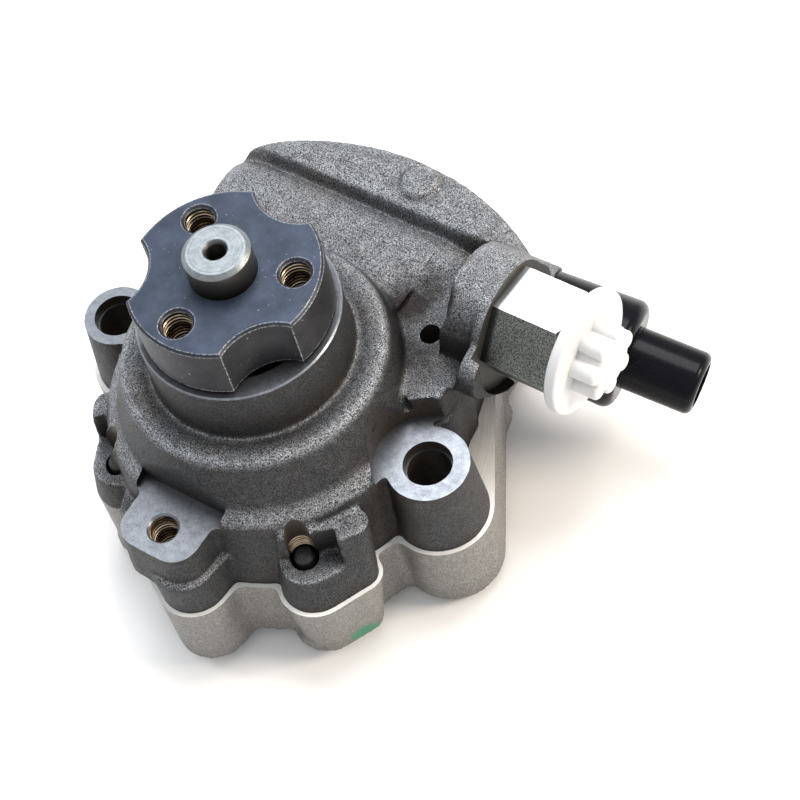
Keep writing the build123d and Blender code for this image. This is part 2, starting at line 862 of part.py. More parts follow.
def plate(top_z, thick, hole_r):
    """Builds one side plate of the cartridge with its ports and dowel holes."""
    with Locations((0, 0, top_z - stack_gap)):
        Cylinder(
            cartridge_r - plate_gap,
            thick,
            align=(Align.CENTER, Align.CENTER, Align.MAX),
        )
    chamfer(edges().filter_by(GeomType.CIRCLE), 0.6)
    Hole(hole_r)
    with BuildSketch(Plane.XY.offset(top_z - stack_gap)) as ports:
        for angle in port_angles:
            start = angle - port_slot_sweep / 2
            SlotArc(CenterArc((0, 0), port_ring_r, start, port_slot_sweep), port_slot_wide)
    extrude(ports.sketch, amount=-thick, mode=Mode.SUBTRACT)
    with PolarLocations(dowel_ring_r, 2):
        Hole(dowel_r + press_gap)


with BuildPart() as front_plate:
    plate(cavity_z, front_plate_thick, shaft_r + 0.4)
front_plate.part.label = "front_plate"
export_step(front_plate.part, "parts/front_plate.step")

with BuildPart() as rear_plate:
    plate(rear_plate_z, rear_plate_thick, journal_r + 0.4)
rear_plate.part.label = "rear_plate"
export_step(rear_plate.part, "parts/rear_plate.step")

with BuildPart() as cam_ring:
    with BuildSketch(Plane.XY.offset(cam_z - stack_gap / 2)):
        Circle(cartridge_r - plate_gap)
        Ellipse(cam_major, cam_minor, rotation=90, mode=Mode.SUBTRACT)
        with PolarLocations(dowel_ring_r, 2):
            Circle(dowel_r + press_gap, mode=Mode.SUBTRACT)
    extrude(amount=-cam_thick + stack_gap)
cam_ring.part.label = "cam_ring"
export_step(cam_ring.part, "parts/cam_ring.step")

with BuildPart() as dowel_pins:
    with BuildSketch(Plane.XY.offset(rear_plate_z - rear_plate_thick + dowel_end_gap)):
        with PolarLocations(dowel_ring_r, 2):
            Circle(dowel_r)
    extrude(amount=front_plate_thick + cam_thick + rear_plate_thick - 2 * dowel_end_gap)
    chamfer(edges(), dowel_chamfer)
dowel_pins.part.label = "dowel_pins"
export_step(dowel_pins.part, "parts/dowel_pins.step")

# Rotor: splined bore and a slot with a round root for each vane
with BuildPart() as rotor:
    with BuildSketch(Plane.XY.offset(cam_z - run_gap - stack_gap)):
        Circle(rotor_r)
        Circle(spline_tip_r + run_gap, mode=Mode.SUBTRACT)
        with PolarLocations(slot_mid_r, vane_count, start_angle=vane_first_angle):
            Rectangle(slot_long, vane_thick + 2 * slide_gap, mode=Mode.SUBTRACT)
        with PolarLocations(slot_root_r, vane_count, start_angle=vane_first_angle):
            Circle(1.5, mode=Mode.SUBTRACT)
        with PolarLocations(spline_tip_r, spline_count):
            Rectangle(
                2 * (spline_tip_r - spline_root_r) - 0.3,
                spline_wide - 2 * slide_gap,
            )
    extrude(amount=-rotor_long)
rotor.part.label = "rotor"
export_step(rotor.part, "parts/rotor.step")

# Vanes, each in its own slot and flush with the rotor, with a rounded outer edge
for number in range(vane_count):
    angle = vane_first_angle + number * 360 / vane_count
    way = (math.cos(math.radians(angle)), math.sin(math.radians(angle)), 0)
    with BuildPart() as vane:
        with BuildSketch(Plane(origin=(0, 0, vane_top_z), x_dir=way, z_dir=(0, 0, 1))):
            with Locations((rotor_r - vane_tall / 2, 0)):
                Rectangle(vane_tall, vane_thick)
            fillet(vertices().sort_by_distance((40 * way[0], 40 * way[1], vane_top_z))[:2], 0.6)
        extrude(amount=-vane_long)
    name = f"vane_{number + 1:02d}"
    vane.part.label = name
    export_step(vane.part, f"parts/{name}.step")

# Plain bush for the shaft's rear journal
with BuildPart() as rear_bush:
    with BuildSketch(Plane.XY.offset(bush_z)):
        Circle(journal_r + bush_wall - press_gap)
        Circle(journal_r + run_gap, mode=Mode.SUBTRACT)
    extrude(amount=-bush_wide)
rear_bush.part.label = "rear_bush"
export_step(rear_bush.part, "parts/rear_bush.step")

# Flow valve spool, its spring and the socket plug that closes the bore
with BuildPart() as flow_valve_spool:
    with BuildSketch(Plane.XZ.offset(-valve_y)):
        with BuildLine():
            Polyline(
                (spool_x, valve_z),
                (spool_x, valve_z + spool_r),
                (spool_x + 9, valve_z + spool_r),
                (spool_x + 9, valve_z + spool_r - 2),
                (spool_x + 15, valve_z + spool_r - 2),
                (spool_x + 15, valve_z + spool_r),
                (spool_x + spool_long - spool_nose_long, valve_z + spool_r),
                (spool_x + spool_long - spool_nose_long, valve_z + 5),
                (spool_x + spool_long, valve_z + 4),
                (spool_x + spool_long, valve_z),
                close=True,
            )
        make_face()
    revolve(axis=Axis((0, valve_y, valve_z), (1, 0, 0)))
    with BuildSketch(spool_plane):
        Circle(spring_r + spring_wire_r + 0.3)
    extrude(amount=spring_seat_deep, mode=Mode.SUBTRACT)
flow_valve_spool.part.label = "flow_valve_spool"
export_step(flow_valve_spool.part, "parts/flow_valve_spool.step")

with BuildPart() as flow_valve_spring:
    with BuildLine() as coil:
        Helix(
            spring_long / spring_turns,
            spring_long,
            spring_r,
            center=(spring_x, valve_y, valve_z),
            direction=(1, 0, 0),
        )
    with BuildSketch(Plane(origin=coil.line @ 0, z_dir=coil.line % 0)):
        Circle(spring_wire_r)
    sweep(path=coil.line, is_frenet=True)
flow_valve_spring.part.label = "flow_valve_spring"
export_step(flow_valve_spring.part, "parts/flow_valve_spring.step")

with BuildPart() as flow_valve_plug:
    with BuildSketch(valve_plane):
        Circle(valve_plug_r)
    extrude(amount=valve_plug_long)
    chamfer(edges().filter_by(GeomType.CIRCLE), 0.8)
    with BuildSketch(valve_plane):
        RegularPolygon(valve_plug_key / 2, 6, major_radius=False)
    extrude(amount=valve_plug_long / 2, mode=Mode.SUBTRACT)
    with BuildSketch(valve_plane.offset(valve_plug_long)):
        Circle(spring_r - spring_wire_r - 0.5)
    extrude(amount=4)
flow_valve_plug.part.label = "flow_valve_plug"
export_step(flow_valve_plug.part, "parts/flow_valve_plug.step")

# Outlet union: hexagon with a chamfered end, threaded root and stepped bore
with BuildPart() as outlet_union:
    with BuildSketch(union_plane):
        RegularPolygon(
            union_flat / 2, 6, major_radius=False, rotation=union_vertex_angle
        )
    extrude(amount=union_long)
    with BuildSketch(port_section):
        with BuildLine():
            Polyline(
                (port_face_x - 1, 0),
                (port_face_x - 1, hex_corner_r),
                (port_face_x + union_long - 1.4, hex_corner_r),
                (port_face_x + union_long, hex_corner_r - 2.2),
                (port_face_x + union_long, 0),
                close=True,
            )
        make_face()
    revolve(axis=port_axis, mode=Mode.INTERSECT)
    with BuildSketch(union_plane):
        Circle(union_thread_r)
    extrude(amount=-union_thread_long)
    with BuildSketch(union_plane):
        Circle(union_bore_r)
    extrude(amount=union_thread_long + union_long, both=True, mode=Mode.SUBTRACT)
    with BuildSketch(union_plane.offset(union_long)):
        Circle(union_mouth_r)
    extrude(amount=-union_mouth_deep, mode=Mode.SUBTRACT)
outlet_union.part.label = "outlet_union"
export_step(outlet_union.part, "parts/outlet_union.step")

# Transit cap: plug, flange and lobed finger grip
with BuildPart() as outlet_cap:
    with BuildSketch(cap_plane):
        Circle(cap_flange_r)
    extrude(amount=cap_flange_thick)
    fillet(edges(), 0.8)
    with BuildSketch(cap_plane):
        Circle(union_mouth_r - run_gap)
    extrude(amount=-cap_plug_long)
    with BuildSketch(cap_plane.offset(cap_flange_thick)):
        Circle(cap_knob_r)
        with PolarLocations(cap_knob_r, cap_lobe_count):
            Circle(cap_lobe_r)
    extrude(amount=cap_knob_long)
    fillet(faces().sort_by(Axis.X)[-1].edges(), 1.2)
outlet_cap.part.label = "outlet_cap"
export_step(outlet_cap.part, "parts/outlet_cap.step")

# Inlet connector: root in the housing, barrel and hose spigot on one slanted axis
with BuildPart() as inlet_pipe:
    with BuildSketch(inlet_plane):
        Circle(inlet_root_r)
    extrude(amount=-inlet_root_long)
    with BuildSketch(inlet_plane):
        Circle(inlet_barrel_r)
    extrude(amount=inlet_barrel_long)
    fillet(edges().group_by(Axis.X)[-1], inlet_shoulder_r)
    with BuildSketch(inlet_plane.offset(inlet_barrel_long)):
        Circle(inlet_spigot_r)
    extrude(amount=inlet_spigot_long)
    fillet(edges().group_by(Axis.X)[-1], inlet_end_r)
    with BuildSketch(inlet_plane.offset(-inlet_root_long)):
        Circle(inlet_bore_r)
    extrude(
        amount=inlet_root_long + inlet_barrel_long + inlet_spigot_long, mode=Mode.SUBTRACT
    )
inlet_pipe.part.label = "inlet_pipe"
export_step(inlet_pipe.part, "parts/inlet_pipe.step")

# Five flange-head screws that hold the cover, heads down
with BuildPart() as cover_screws:
    for x, y in screw_places:
        with BuildSketch(Plane.XY.offset(seat_z)):
            with Locations((x, y)):
                Circle(screw_flange_r)
        extrude(amount=-screw_flange_thick, taper=20)
        with BuildSketch(Plane.XY.offset(seat_z)):
            with Locations((x, y)):
                RegularPolygon(screw_head_flat / 2, 6, major_radius=False)
        extrude(amount=-screw_head_tall)
        with BuildSketch(Plane.XY.offset(seat_z)):
            with Locations((x, y)):
                Circle(screw_r - 2 * press_gap)
        extrude(amount=screw_tip_z - seat_z)
    chamfer(edges().filter_by(GeomType.CIRCLE).group_by(Axis.Z)[-1], 1.0)
cover_screws.part.label = "cover_screws"
export_step(cover_screws.part, "parts/cover_screws.step")
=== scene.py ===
import math

import bmesh
import bpy
from mathutils import Matrix, Quaternion, Vector


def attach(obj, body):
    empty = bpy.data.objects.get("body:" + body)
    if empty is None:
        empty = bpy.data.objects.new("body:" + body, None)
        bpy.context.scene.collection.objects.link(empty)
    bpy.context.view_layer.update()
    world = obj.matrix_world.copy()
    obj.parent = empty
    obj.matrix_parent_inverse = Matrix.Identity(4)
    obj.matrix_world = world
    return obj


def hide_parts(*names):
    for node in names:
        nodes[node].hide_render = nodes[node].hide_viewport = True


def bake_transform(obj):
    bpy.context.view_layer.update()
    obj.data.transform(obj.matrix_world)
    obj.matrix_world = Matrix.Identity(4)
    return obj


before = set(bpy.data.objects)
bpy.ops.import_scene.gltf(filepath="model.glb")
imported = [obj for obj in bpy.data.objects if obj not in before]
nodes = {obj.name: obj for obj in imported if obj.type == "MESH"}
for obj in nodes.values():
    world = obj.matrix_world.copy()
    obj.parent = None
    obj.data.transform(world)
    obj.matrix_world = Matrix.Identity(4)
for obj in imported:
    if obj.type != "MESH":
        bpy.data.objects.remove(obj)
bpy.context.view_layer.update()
mm = 0.001
up = (0, 0, 1)
across = (1, 0, 0)

floorLevel = {"z": -109.0, "half": 1500.0}

cameraView = {
    "place": (297.73, -230.62, 483.20),
    "aim": (37.47, 10.98, -50.0),
    "roll": -16.84,
    "lens": 108.0,
}

# each lamp: where it stands, what it looks at, its side in mm, its power and its colour
lamps = {
    "mainBox": {"place": (-60, 430, 860), "aim": (0, 0, -60), "side": 640, "power": 10.5, "tint": (0.98, 0.99, 1.0)},
    "leftBox": {"place": (-700, -160, 420), "aim": (0, 0, -60), "side": 240, "power": 1.6, "tint": (0.9, 0.95, 1.0)},
    "rightBox": {"place": (620, 340, 330), "aim": (20, 0, -60), "side": 240, "power": 4.6, "tint": (1.0, 0.86, 0.7)},
}


def point(values):
    return Vector(values) * mm


def report(stage):
    print("stage:", stage)


# Shader tools

def newTree(kind, name, inputs, outputs):
    tree = bpy.data.node_groups.new(name, kind)
    for label, socketKind, *value in inputs:
        socket = tree.interface.new_socket(label, in_out="INPUT", socket_type="NodeSocket" + socketKind)
        if value:
            socket.default_value = value[0]
    for label, socketKind in outputs:
        tree.interface.new_socket(label, in_out="OUTPUT", socket_type="NodeSocket" + socketKind)
    return tree, tree.nodes.new("NodeGroupInput"), tree.nodes.new("NodeGroupOutput")


def link(tree, source, target):
    tree.links.new(source, target)


# a socket takes another node's output, a colour or a constant
def feed(tree, value, socket):
    if isinstance(value, bpy.types.NodeSocket):
        link(tree, value, socket)
    elif socket.type == "RGBA" and len(value) == 3:
        socket.default_value = (*value, 1.0)
    else:
        socket.default_value = value


def addNode(tree, kind, settings=None, **sockets):
    made = tree.nodes.new(kind)
    for key, value in (settings or {}).items():
        setattr(made, key, value)
    for key, value in sockets.items():
        feed(tree, value, made.inputs[key.replace("_", " ")])
    return made


def mathNode(tree, operation, *values, clamp=False):
    made = addNode(tree, "ShaderNodeMath", {"operation": operation, "use_clamp": clamp})
    for value, socket in zip(values, made.inputs):
        feed(tree, value, socket)
    return made.outputs[0]


def plus(tree, first, second, clamp=False):
    return mathNode(tree, "ADD", first, second, clamp=clamp)


def times(tree, first, second):
    return mathNode(tree, "MULTIPLY", first, second)


# a length, distance or product of one or two vectors
def measure(tree, operation, *vectors):
    made = addNode(tree, "ShaderNodeVectorMath", {"operation": operation})
    for value, socket in zip(vectors, made.inputs):
        feed(tree, value, socket)
    return made.outputs["Value"]


def mixColor(tree, factor, first, second):
    made = addNode(tree, "ShaderNodeMix", {"data_type": "RGBA"})
    for value, index in ((factor, 0), (first, 6), (second, 7)):
        feed(tree, value, made.inputs[index])
    return made.outputs[2]


def spread(tree, value, low, high, outLow=0.0, outHigh=1.0):
    made = addNode(tree, "ShaderNodeMapRange", Value=value, From_Min=low, From_Max=high, To_Min=outLow, To_Max=outHigh)
    return made.outputs["Result"]


# object coordinates in millimetres
def objectPoints(tree):
    coords = tree.nodes.new("ShaderNodeTexCoord").outputs["Object"]
    return addNode(tree, "ShaderNodeVectorMath", {"operation": "SCALE"}, Vector=coords, Scale=1000.0).outputs[0]


def partsOf(tree, vector):
    return addNode(tree, "ShaderNodeSeparateXYZ", Vector=vector).outputs


# how far the surface looks up
def facingUp(tree):
    return partsOf(tree, tree.nodes.new("ShaderNodeNewGeometry").outputs["Normal"])[2]


# how open the surroundings of a point are
def openness(tree, reach):
    return addNode(tree, "ShaderNodeAmbientOcclusion", {"samples": 4}, Distance=reach).outputs["AO"]


def noiseAt(tree, points, scale, detail=2.0, roughness=0.5):
    made = addNode(tree, "ShaderNodeTexNoise", Vector=points, Scale=scale, Detail=detail, Roughness=roughness)
    return made.outputs["Fac"]


def bumpFrom(tree, height, strength, distance):
    return addNode(tree, "ShaderNodeBump", Height=height, Strength=strength, Distance=distance).outputs["Normal"]


def giveSkin(tree, end, color, roughness, normal):
    for label, value in (("Color", color), ("Roughness", roughness), ("Normal", normal)):
        link(tree, value, end.inputs[label])


skinOutputs = [("Color", "Color"), ("Roughness", "Float"), ("Normal", "Vector")]


def grainAndLightGroup():
    # sand-cast skin: pebbled grains and broad stains, with painted light on faces that look up, painted shade on walls
    # and painted shade in hollows
    tree, start, end = newTree("ShaderNodeTree", "castGrainAndPaintedLight", [
        ("Dark", "Color", (0.03, 0.028, 0.027, 1)),
        ("Light", "Color", (0.3, 0.29, 0.28, 1)),
        ("Stain", "Color", (0.16, 0.1, 0.05, 1)),
        ("Grain Scale", "Float", 1.1),
        ("Stain Amount", "Float", 0.35),
        ("Wall", "Float", 0.2),
        ("Crease", "Float", 0.5),
        ("Bump", "Float", 0.8),
    ], skinOutputs)
    wanted = start.outputs
    points = objectPoints(tree)
    grain = noiseAt(tree, points, wanted["Grain Scale"], 3.0, 0.62)
    pebble = addNode(tree, "ShaderNodeTexVoronoi", {"feature": "F1"}, Vector=points, Randomness=1.0,
                     Scale=times(tree, wanted["Grain Scale"], 1.25))
    sparkle = addNode(tree, "ShaderNodeSeparateColor", Color=pebble.outputs["Color"]).outputs[0]
    broad = noiseAt(tree, points, 0.055, 4.0, 0.6)
    middle = noiseAt(tree, points, 0.3, 3.0, 0.6)
    heights = plus(tree, times(tree, grain, 0.75),
                   times(tree, mathNode(tree, "SUBTRACT", 0.8, pebble.outputs["Distance"]), 0.35))
    tone = plus(tree, spread(tree, grain, 0.42, 0.66), spread(tree, sparkle, 0.62, 1.0, 0.0, 0.6), clamp=True)
    tone = times(tree, tone, spread(tree, middle, 0.3, 0.7, 0.62, 1.0))
    # painted light: faces that look up are painted brighter, most on slopes just short of flat, and walls keep only
    # the Wall share as painted shade
    facing = facingUp(tree)
    paintedTopLight = times(tree, spread(tree, facing, 0.3, 0.85), spread(tree, facing, 0.9, 1.0, 1.0, 0.74))
    wallShare = mathNode(tree, "SUBTRACT", 1.0, wanted["Wall"])
    lit = times(tree, tone, plus(tree, wanted["Wall"], times(tree, paintedTopLight, wallShare)))
    # painted shade: an occlusion mask darkens creases and hollows towards near black
    crease = spread(tree, openness(tree, 0.014), 0.95, 0.45)
    base = mixColor(tree, lit, wanted["Dark"], wanted["Light"])
    stainMask = times(tree, spread(tree, broad, 0.47, 0.62), wanted["Stain Amount"])
    stainMask = times(tree, stainMask, plus(tree, crease, 0.15, clamp=True))
    stained = mixColor(tree, times(tree, stainMask, spread(tree, grain, 0.35, 0.6)), base, wanted["Stain"])
    shade = times(tree, crease, wanted["Crease"])
    giveSkin(tree, end, mixColor(tree, shade, stained, (0.008, 0.007, 0.006)),
             spread(tree, lit, 0.0, 1.0, 0.55, 0.28), bumpFrom(tree, heights, wanted["Bump"], 0.0003))
    return tree


def marksAndShadeGroup():
    # fine circular tool marks round an axis along Z through Centre, with painted shade in creases
    tree, start, end = newTree("ShaderNodeTree", "toolMarksAndShade", [
        ("Centre", "Vector", (0, 0, 0)),
        ("Pitch", "Float", 3.0),
        ("Low", "Color", (0.3, 0.32, 0.35, 1)),
        ("High", "Color", (0.6, 0.63, 0.67, 1)),
        ("Bump", "Float", 0.25),
        ("Crease", "Float", 0.0),
        ("Lines", "Float", 0.6),
        ("Dull", "Float", 1.0),
    ], skinOutputs)
    wanted = start.outputs
    points = objectPoints(tree)
    placed = addNode(tree, "ShaderNodeMapping", {"vector_type": "TEXTURE"}, Vector=points, Location=wanted["Centre"])
    aside, ahead, height = partsOf(tree, placed.outputs["Vector"])
    radius = mathNode(tree, "SQRT", plus(tree, times(tree, aside, aside), times(tree, ahead, ahead)))
    wobble = noiseAt(tree, points, 0.25, 2.0)
    rings = plus(tree, plus(tree, radius, height), times(tree, wobble, 0.9))
    marks = addNode(tree, "ShaderNodeTexNoise", {"noise_dimensions": "1D"}, W=rings, Scale=wanted["Pitch"],
                    Detail=3.0, Roughness=0.7).outputs["Fac"]
    smear = plus(tree, times(tree, noiseAt(tree, points, 0.5, 3.0, 0.65), 0.5),
                 times(tree, noiseAt(tree, points, 3.2, 2.0, 0.6), 0.5))
    clouds = times(tree, spread(tree, smear, 0.36, 0.64), mathNode(tree, "SUBTRACT", 1.0, wanted["Lines"]))
    tone = plus(tree, times(tree, spread(tree, marks, 0.3, 0.7), wanted["Lines"]), clouds, clamp=True)
    # painted shade: an occlusion mask darkens creases towards near black
    shade = times(tree, spread(tree, openness(tree, 0.012), 0.98, 0.5), wanted["Crease"])
    base = mixColor(tree, tone, wanted["Low"], wanted["High"])
    giveSkin(tree, end, mixColor(tree, shade, base, (0.012, 0.011, 0.011)),
             times(tree, spread(tree, tone, 0.0, 1.0, 0.42, 0.26), wanted["Dull"]),
             bumpFrom(tree, marks, wanted["Bump"], 0.0001))
    return tree


def wearGroup():
    # bright rubbed edges, broken up by noise
    tree, start, end = newTree("ShaderNodeTree", "rubbedEdge",
                               [("Radius", "Float", 0.0006), ("Break", "Float", 1.2)], [("Mask", "Float")])
    rounded = addNode(tree, "ShaderNodeBevel", {"samples": 6}, Radius=start.outputs["Radius"])
    plain = tree.nodes.new("ShaderNodeNewGeometry")
    same = measure(tree, "DOT_PRODUCT", rounded.outputs["Normal"], plain.outputs["Normal"])
    broken = noiseAt(tree, objectPoints(tree), start.outputs["Break"], 3.0, 0.7)
    link(tree, times(tree, spread(tree, same, 0.995, 0.9), spread(tree, broken, 0.38, 0.6)), end.inputs["Mask"])
    return tree


shared = {"grain": grainAndLightGroup(), "marks": marksAndShadeGroup(), "wear": wearGroup()}


def newMaterial(name, metallic=0.0, roughness=0.5, **sockets):
    made = bpy.data.materials.new(name)
    made.use_nodes = True
    surface = made.node_tree.nodes["Principled BSDF"]
    for key, value in {"Metallic": metallic, "Roughness": roughness, **sockets}.items():
        surface.inputs[key.replace("_", " ")].default_value = value
    return made, made.node_tree, surface


def placeGroup(tree, name, values):
    made = tree.nodes.new("ShaderNodeGroup")
    made.node_tree = shared[name]
    for key, value in values.items():
        feed(tree, value, made.inputs[key])
    return made


# a material whose colour, roughness and normal come from a shared group
def groupMaterial(name, group, metallic, values):
    made, tree, surface = newMaterial(name, metallic)
    placed = placeGroup(tree, group, values)
    for label, socket in (("Color", "Base Color"), ("Roughness", "Roughness"), ("Normal", "Normal")):
        link(tree, placed.outputs[label], surface.inputs[socket])
    return made


def grainMaterial(name, metallic, values):
    return groupMaterial(name, "grain", metallic, values)


def machinedMaterial(name, values, metallic=1.0):
    return groupMaterial(name, "marks", metallic, values)


# a material's tree, the socket of its base colour and what feeds it so far
def baseColor(made):
    socket = made.node_tree.nodes["Principled BSDF"].inputs["Base Color"]
    return made.node_tree, socket, socket.links[0].from_socket


# darkens the iron to a near-black brown round some given places, broken up by noise
def ironMaterial(values, spots):
    made = grainMaterial("ironCasting", 0.8, values)
    tree, socket, color = baseColor(made)
    points = objectPoints(tree)
    broken = times(tree, noiseAt(tree, points, 0.22, 4.0, 0.65), 1.1)
    for place, reach, amount in spots:
        near = plus(tree, mathNode(tree, "DIVIDE", measure(tree, "DISTANCE", points, place), reach), broken)
        color = mixColor(tree, times(tree, spread(tree, near, 1.6, 0.9), amount), color, (0.016, 0.011, 0.008))
    link(tree, color, socket)
    return made


# a brushed dab of green paint over the cover's casting, stretched along its stroke
def coverMaterial(values, dab):
    made = grainMaterial("coverCasting", 0.35, values)
    tree, socket, under = baseColor(made)
    points = objectPoints(tree)
    placed = addNode(tree, "ShaderNodeMapping", {"vector_type": "TEXTURE"}, Vector=points, Location=dab["place"],
                     Rotation=dab["turn"], Scale=dab["size"])
    ragged = plus(tree, measure(tree, "LENGTH", placed.outputs["Vector"]),
                  times(tree, noiseAt(tree, points, 0.7, 4.0, 0.7), 1.1))
    mask = times(tree, spread(tree, ragged, 1.6, 1.3), dab["cover"])
    link(tree, mixColor(tree, mask, under, dab["paint"]), socket)
    return made


# bright end face where it looks up, and brown sides painted darker as shade, the painted shade deepening to near black
# towards the flange
def shaftMaterial(values):
    made = machinedMaterial("shaftSteel", values)
    tree, socket, under = baseColor(made)
    height = partsOf(tree, objectPoints(tree))[2]
    # painted shade: the sides darken to near black towards the flange, and only faces that look up keep the bright
    # machined colour
    side = mixColor(tree, spread(tree, height, 0.5, 9.0), (0.02, 0.015, 0.011), (0.17, 0.155, 0.138))
    link(tree, mixColor(tree, spread(tree, facingUp(tree), 0.2, 0.7), side, under), socket)
    return made


# a fine noise sets the roughness between two values and makes a small bump
def fineSkin(tree, surface, fine, smooth, rough, strength, distance=0.0002):
    link(tree, spread(tree, fine, 0.3, 0.7, smooth, rough), surface.inputs["Roughness"])
    link(tree, bumpFrom(tree, fine, strength, distance), surface.inputs["Normal"])


# blue-grey face where it looks up as a painted reflection, charcoal sides as painted shade, and rubbed edges
def flangeMaterial():
    made, tree, surface = newMaterial("flangeSteel", 0.5)
    points = objectPoints(tree)
    cloud = spread(tree, noiseAt(tree, points, 0.12, 4.0, 0.6), 0.35, 0.68)
    # painted reflection: faces that look up take a lighter blue-grey; painted shade: the sides take charcoal
    face = mixColor(tree, cloud, (0.018, 0.027, 0.046), (0.04, 0.054, 0.088))
    side = mixColor(tree, cloud, (0.012, 0.012, 0.015), (0.028, 0.027, 0.031))
    body = mixColor(tree, spread(tree, facingUp(tree), 0.6, 0.95), side, face)
    specks = spread(tree, noiseAt(tree, points, 1.3, 1.0), 0.74, 0.8)
    body = mixColor(tree, times(tree, specks, 0.6), body, (0.45, 0.48, 0.52))
    wear = placeGroup(tree, "wear", {"Radius": 0.0005, "Break": 1.4})
    flat = addNode(tree, "ShaderNodeVectorMath", {"operation": "MULTIPLY"}, Vector=points)
    flat.inputs[1].default_value = (1.0, 1.0, 0.0)
    radius = measure(tree, "LENGTH", flat.outputs[0])
    worn = times(tree, wear.outputs["Mask"], spread(tree, radius, 10.0, 11.0))
    link(tree, mixColor(tree, worn, body, (0.6, 0.62, 0.66)), surface.inputs["Base Color"])
    fineSkin(tree, surface, noiseAt(tree, points, 3.0, 3.0, 0.6), 0.42, 0.56, 0.12)
    return made


def plasticMaterial(name, color, roughness, grainStrength, **sockets):
    made, tree, surface = newMaterial(name, 0.0, roughness, **sockets)
    points = objectPoints(tree)
    tone = spread(tree, noiseAt(tree, points, 0.15, 3.0), 0.3, 0.7, 0.94, 1.0)
    mixed = mixColor(tree, tone, tuple(c * 0.9 for c in color), color)
    link(tree, mixed, surface.inputs["Base Color"])
    fineSkin(tree, surface, noiseAt(tree, points, 1.6, 3.0), roughness * 0.85, roughness * 1.2, grainStrength)
    return made


# painted highlight on faces that look up, dull grained sides, rubbed edges and painted shade at the root
def zincMaterial():
    made, tree, surface = newMaterial("zincPlate", 0.9, 0.4)
    points = objectPoints(tree)
    fine = noiseAt(tree, points, 3.0, 3.0, 0.65)
    cloud = noiseAt(tree, points, 0.12, 3.0, 0.6)
    tone = times(tree, spread(tree, fine, 0.38, 0.64), spread(tree, cloud, 0.3, 0.7, 0.75, 1.0))
    dull = mixColor(tree, tone, (0.03, 0.034, 0.03), (0.3, 0.315, 0.29))
    # painted highlight: faces that look up are painted near white
    mixed = mixColor(tree, spread(tree, facingUp(tree), 0.75, 0.9), dull, (0.86, 0.88, 0.87))
    wear = placeGroup(tree, "wear", {"Radius": 0.0004, "Break": 0.8})
    # painted shade: the hex darkens to near black at its root by the port boss
    paintedRootShade = spread(tree, partsOf(tree, points)[0], 55.4, 56.6, 0.1, 1.0)
    worn = mixColor(tree, wear.outputs["Mask"], mixed, (0.9, 0.9, 0.88))
    link(tree, mixColor(tree, paintedRootShade, (0.02, 0.02, 0.018), worn), surface.inputs["Base Color"])
    fineSkin(tree, surface, fine, 0.34, 0.5, 0.25, 0.0003)
    return made


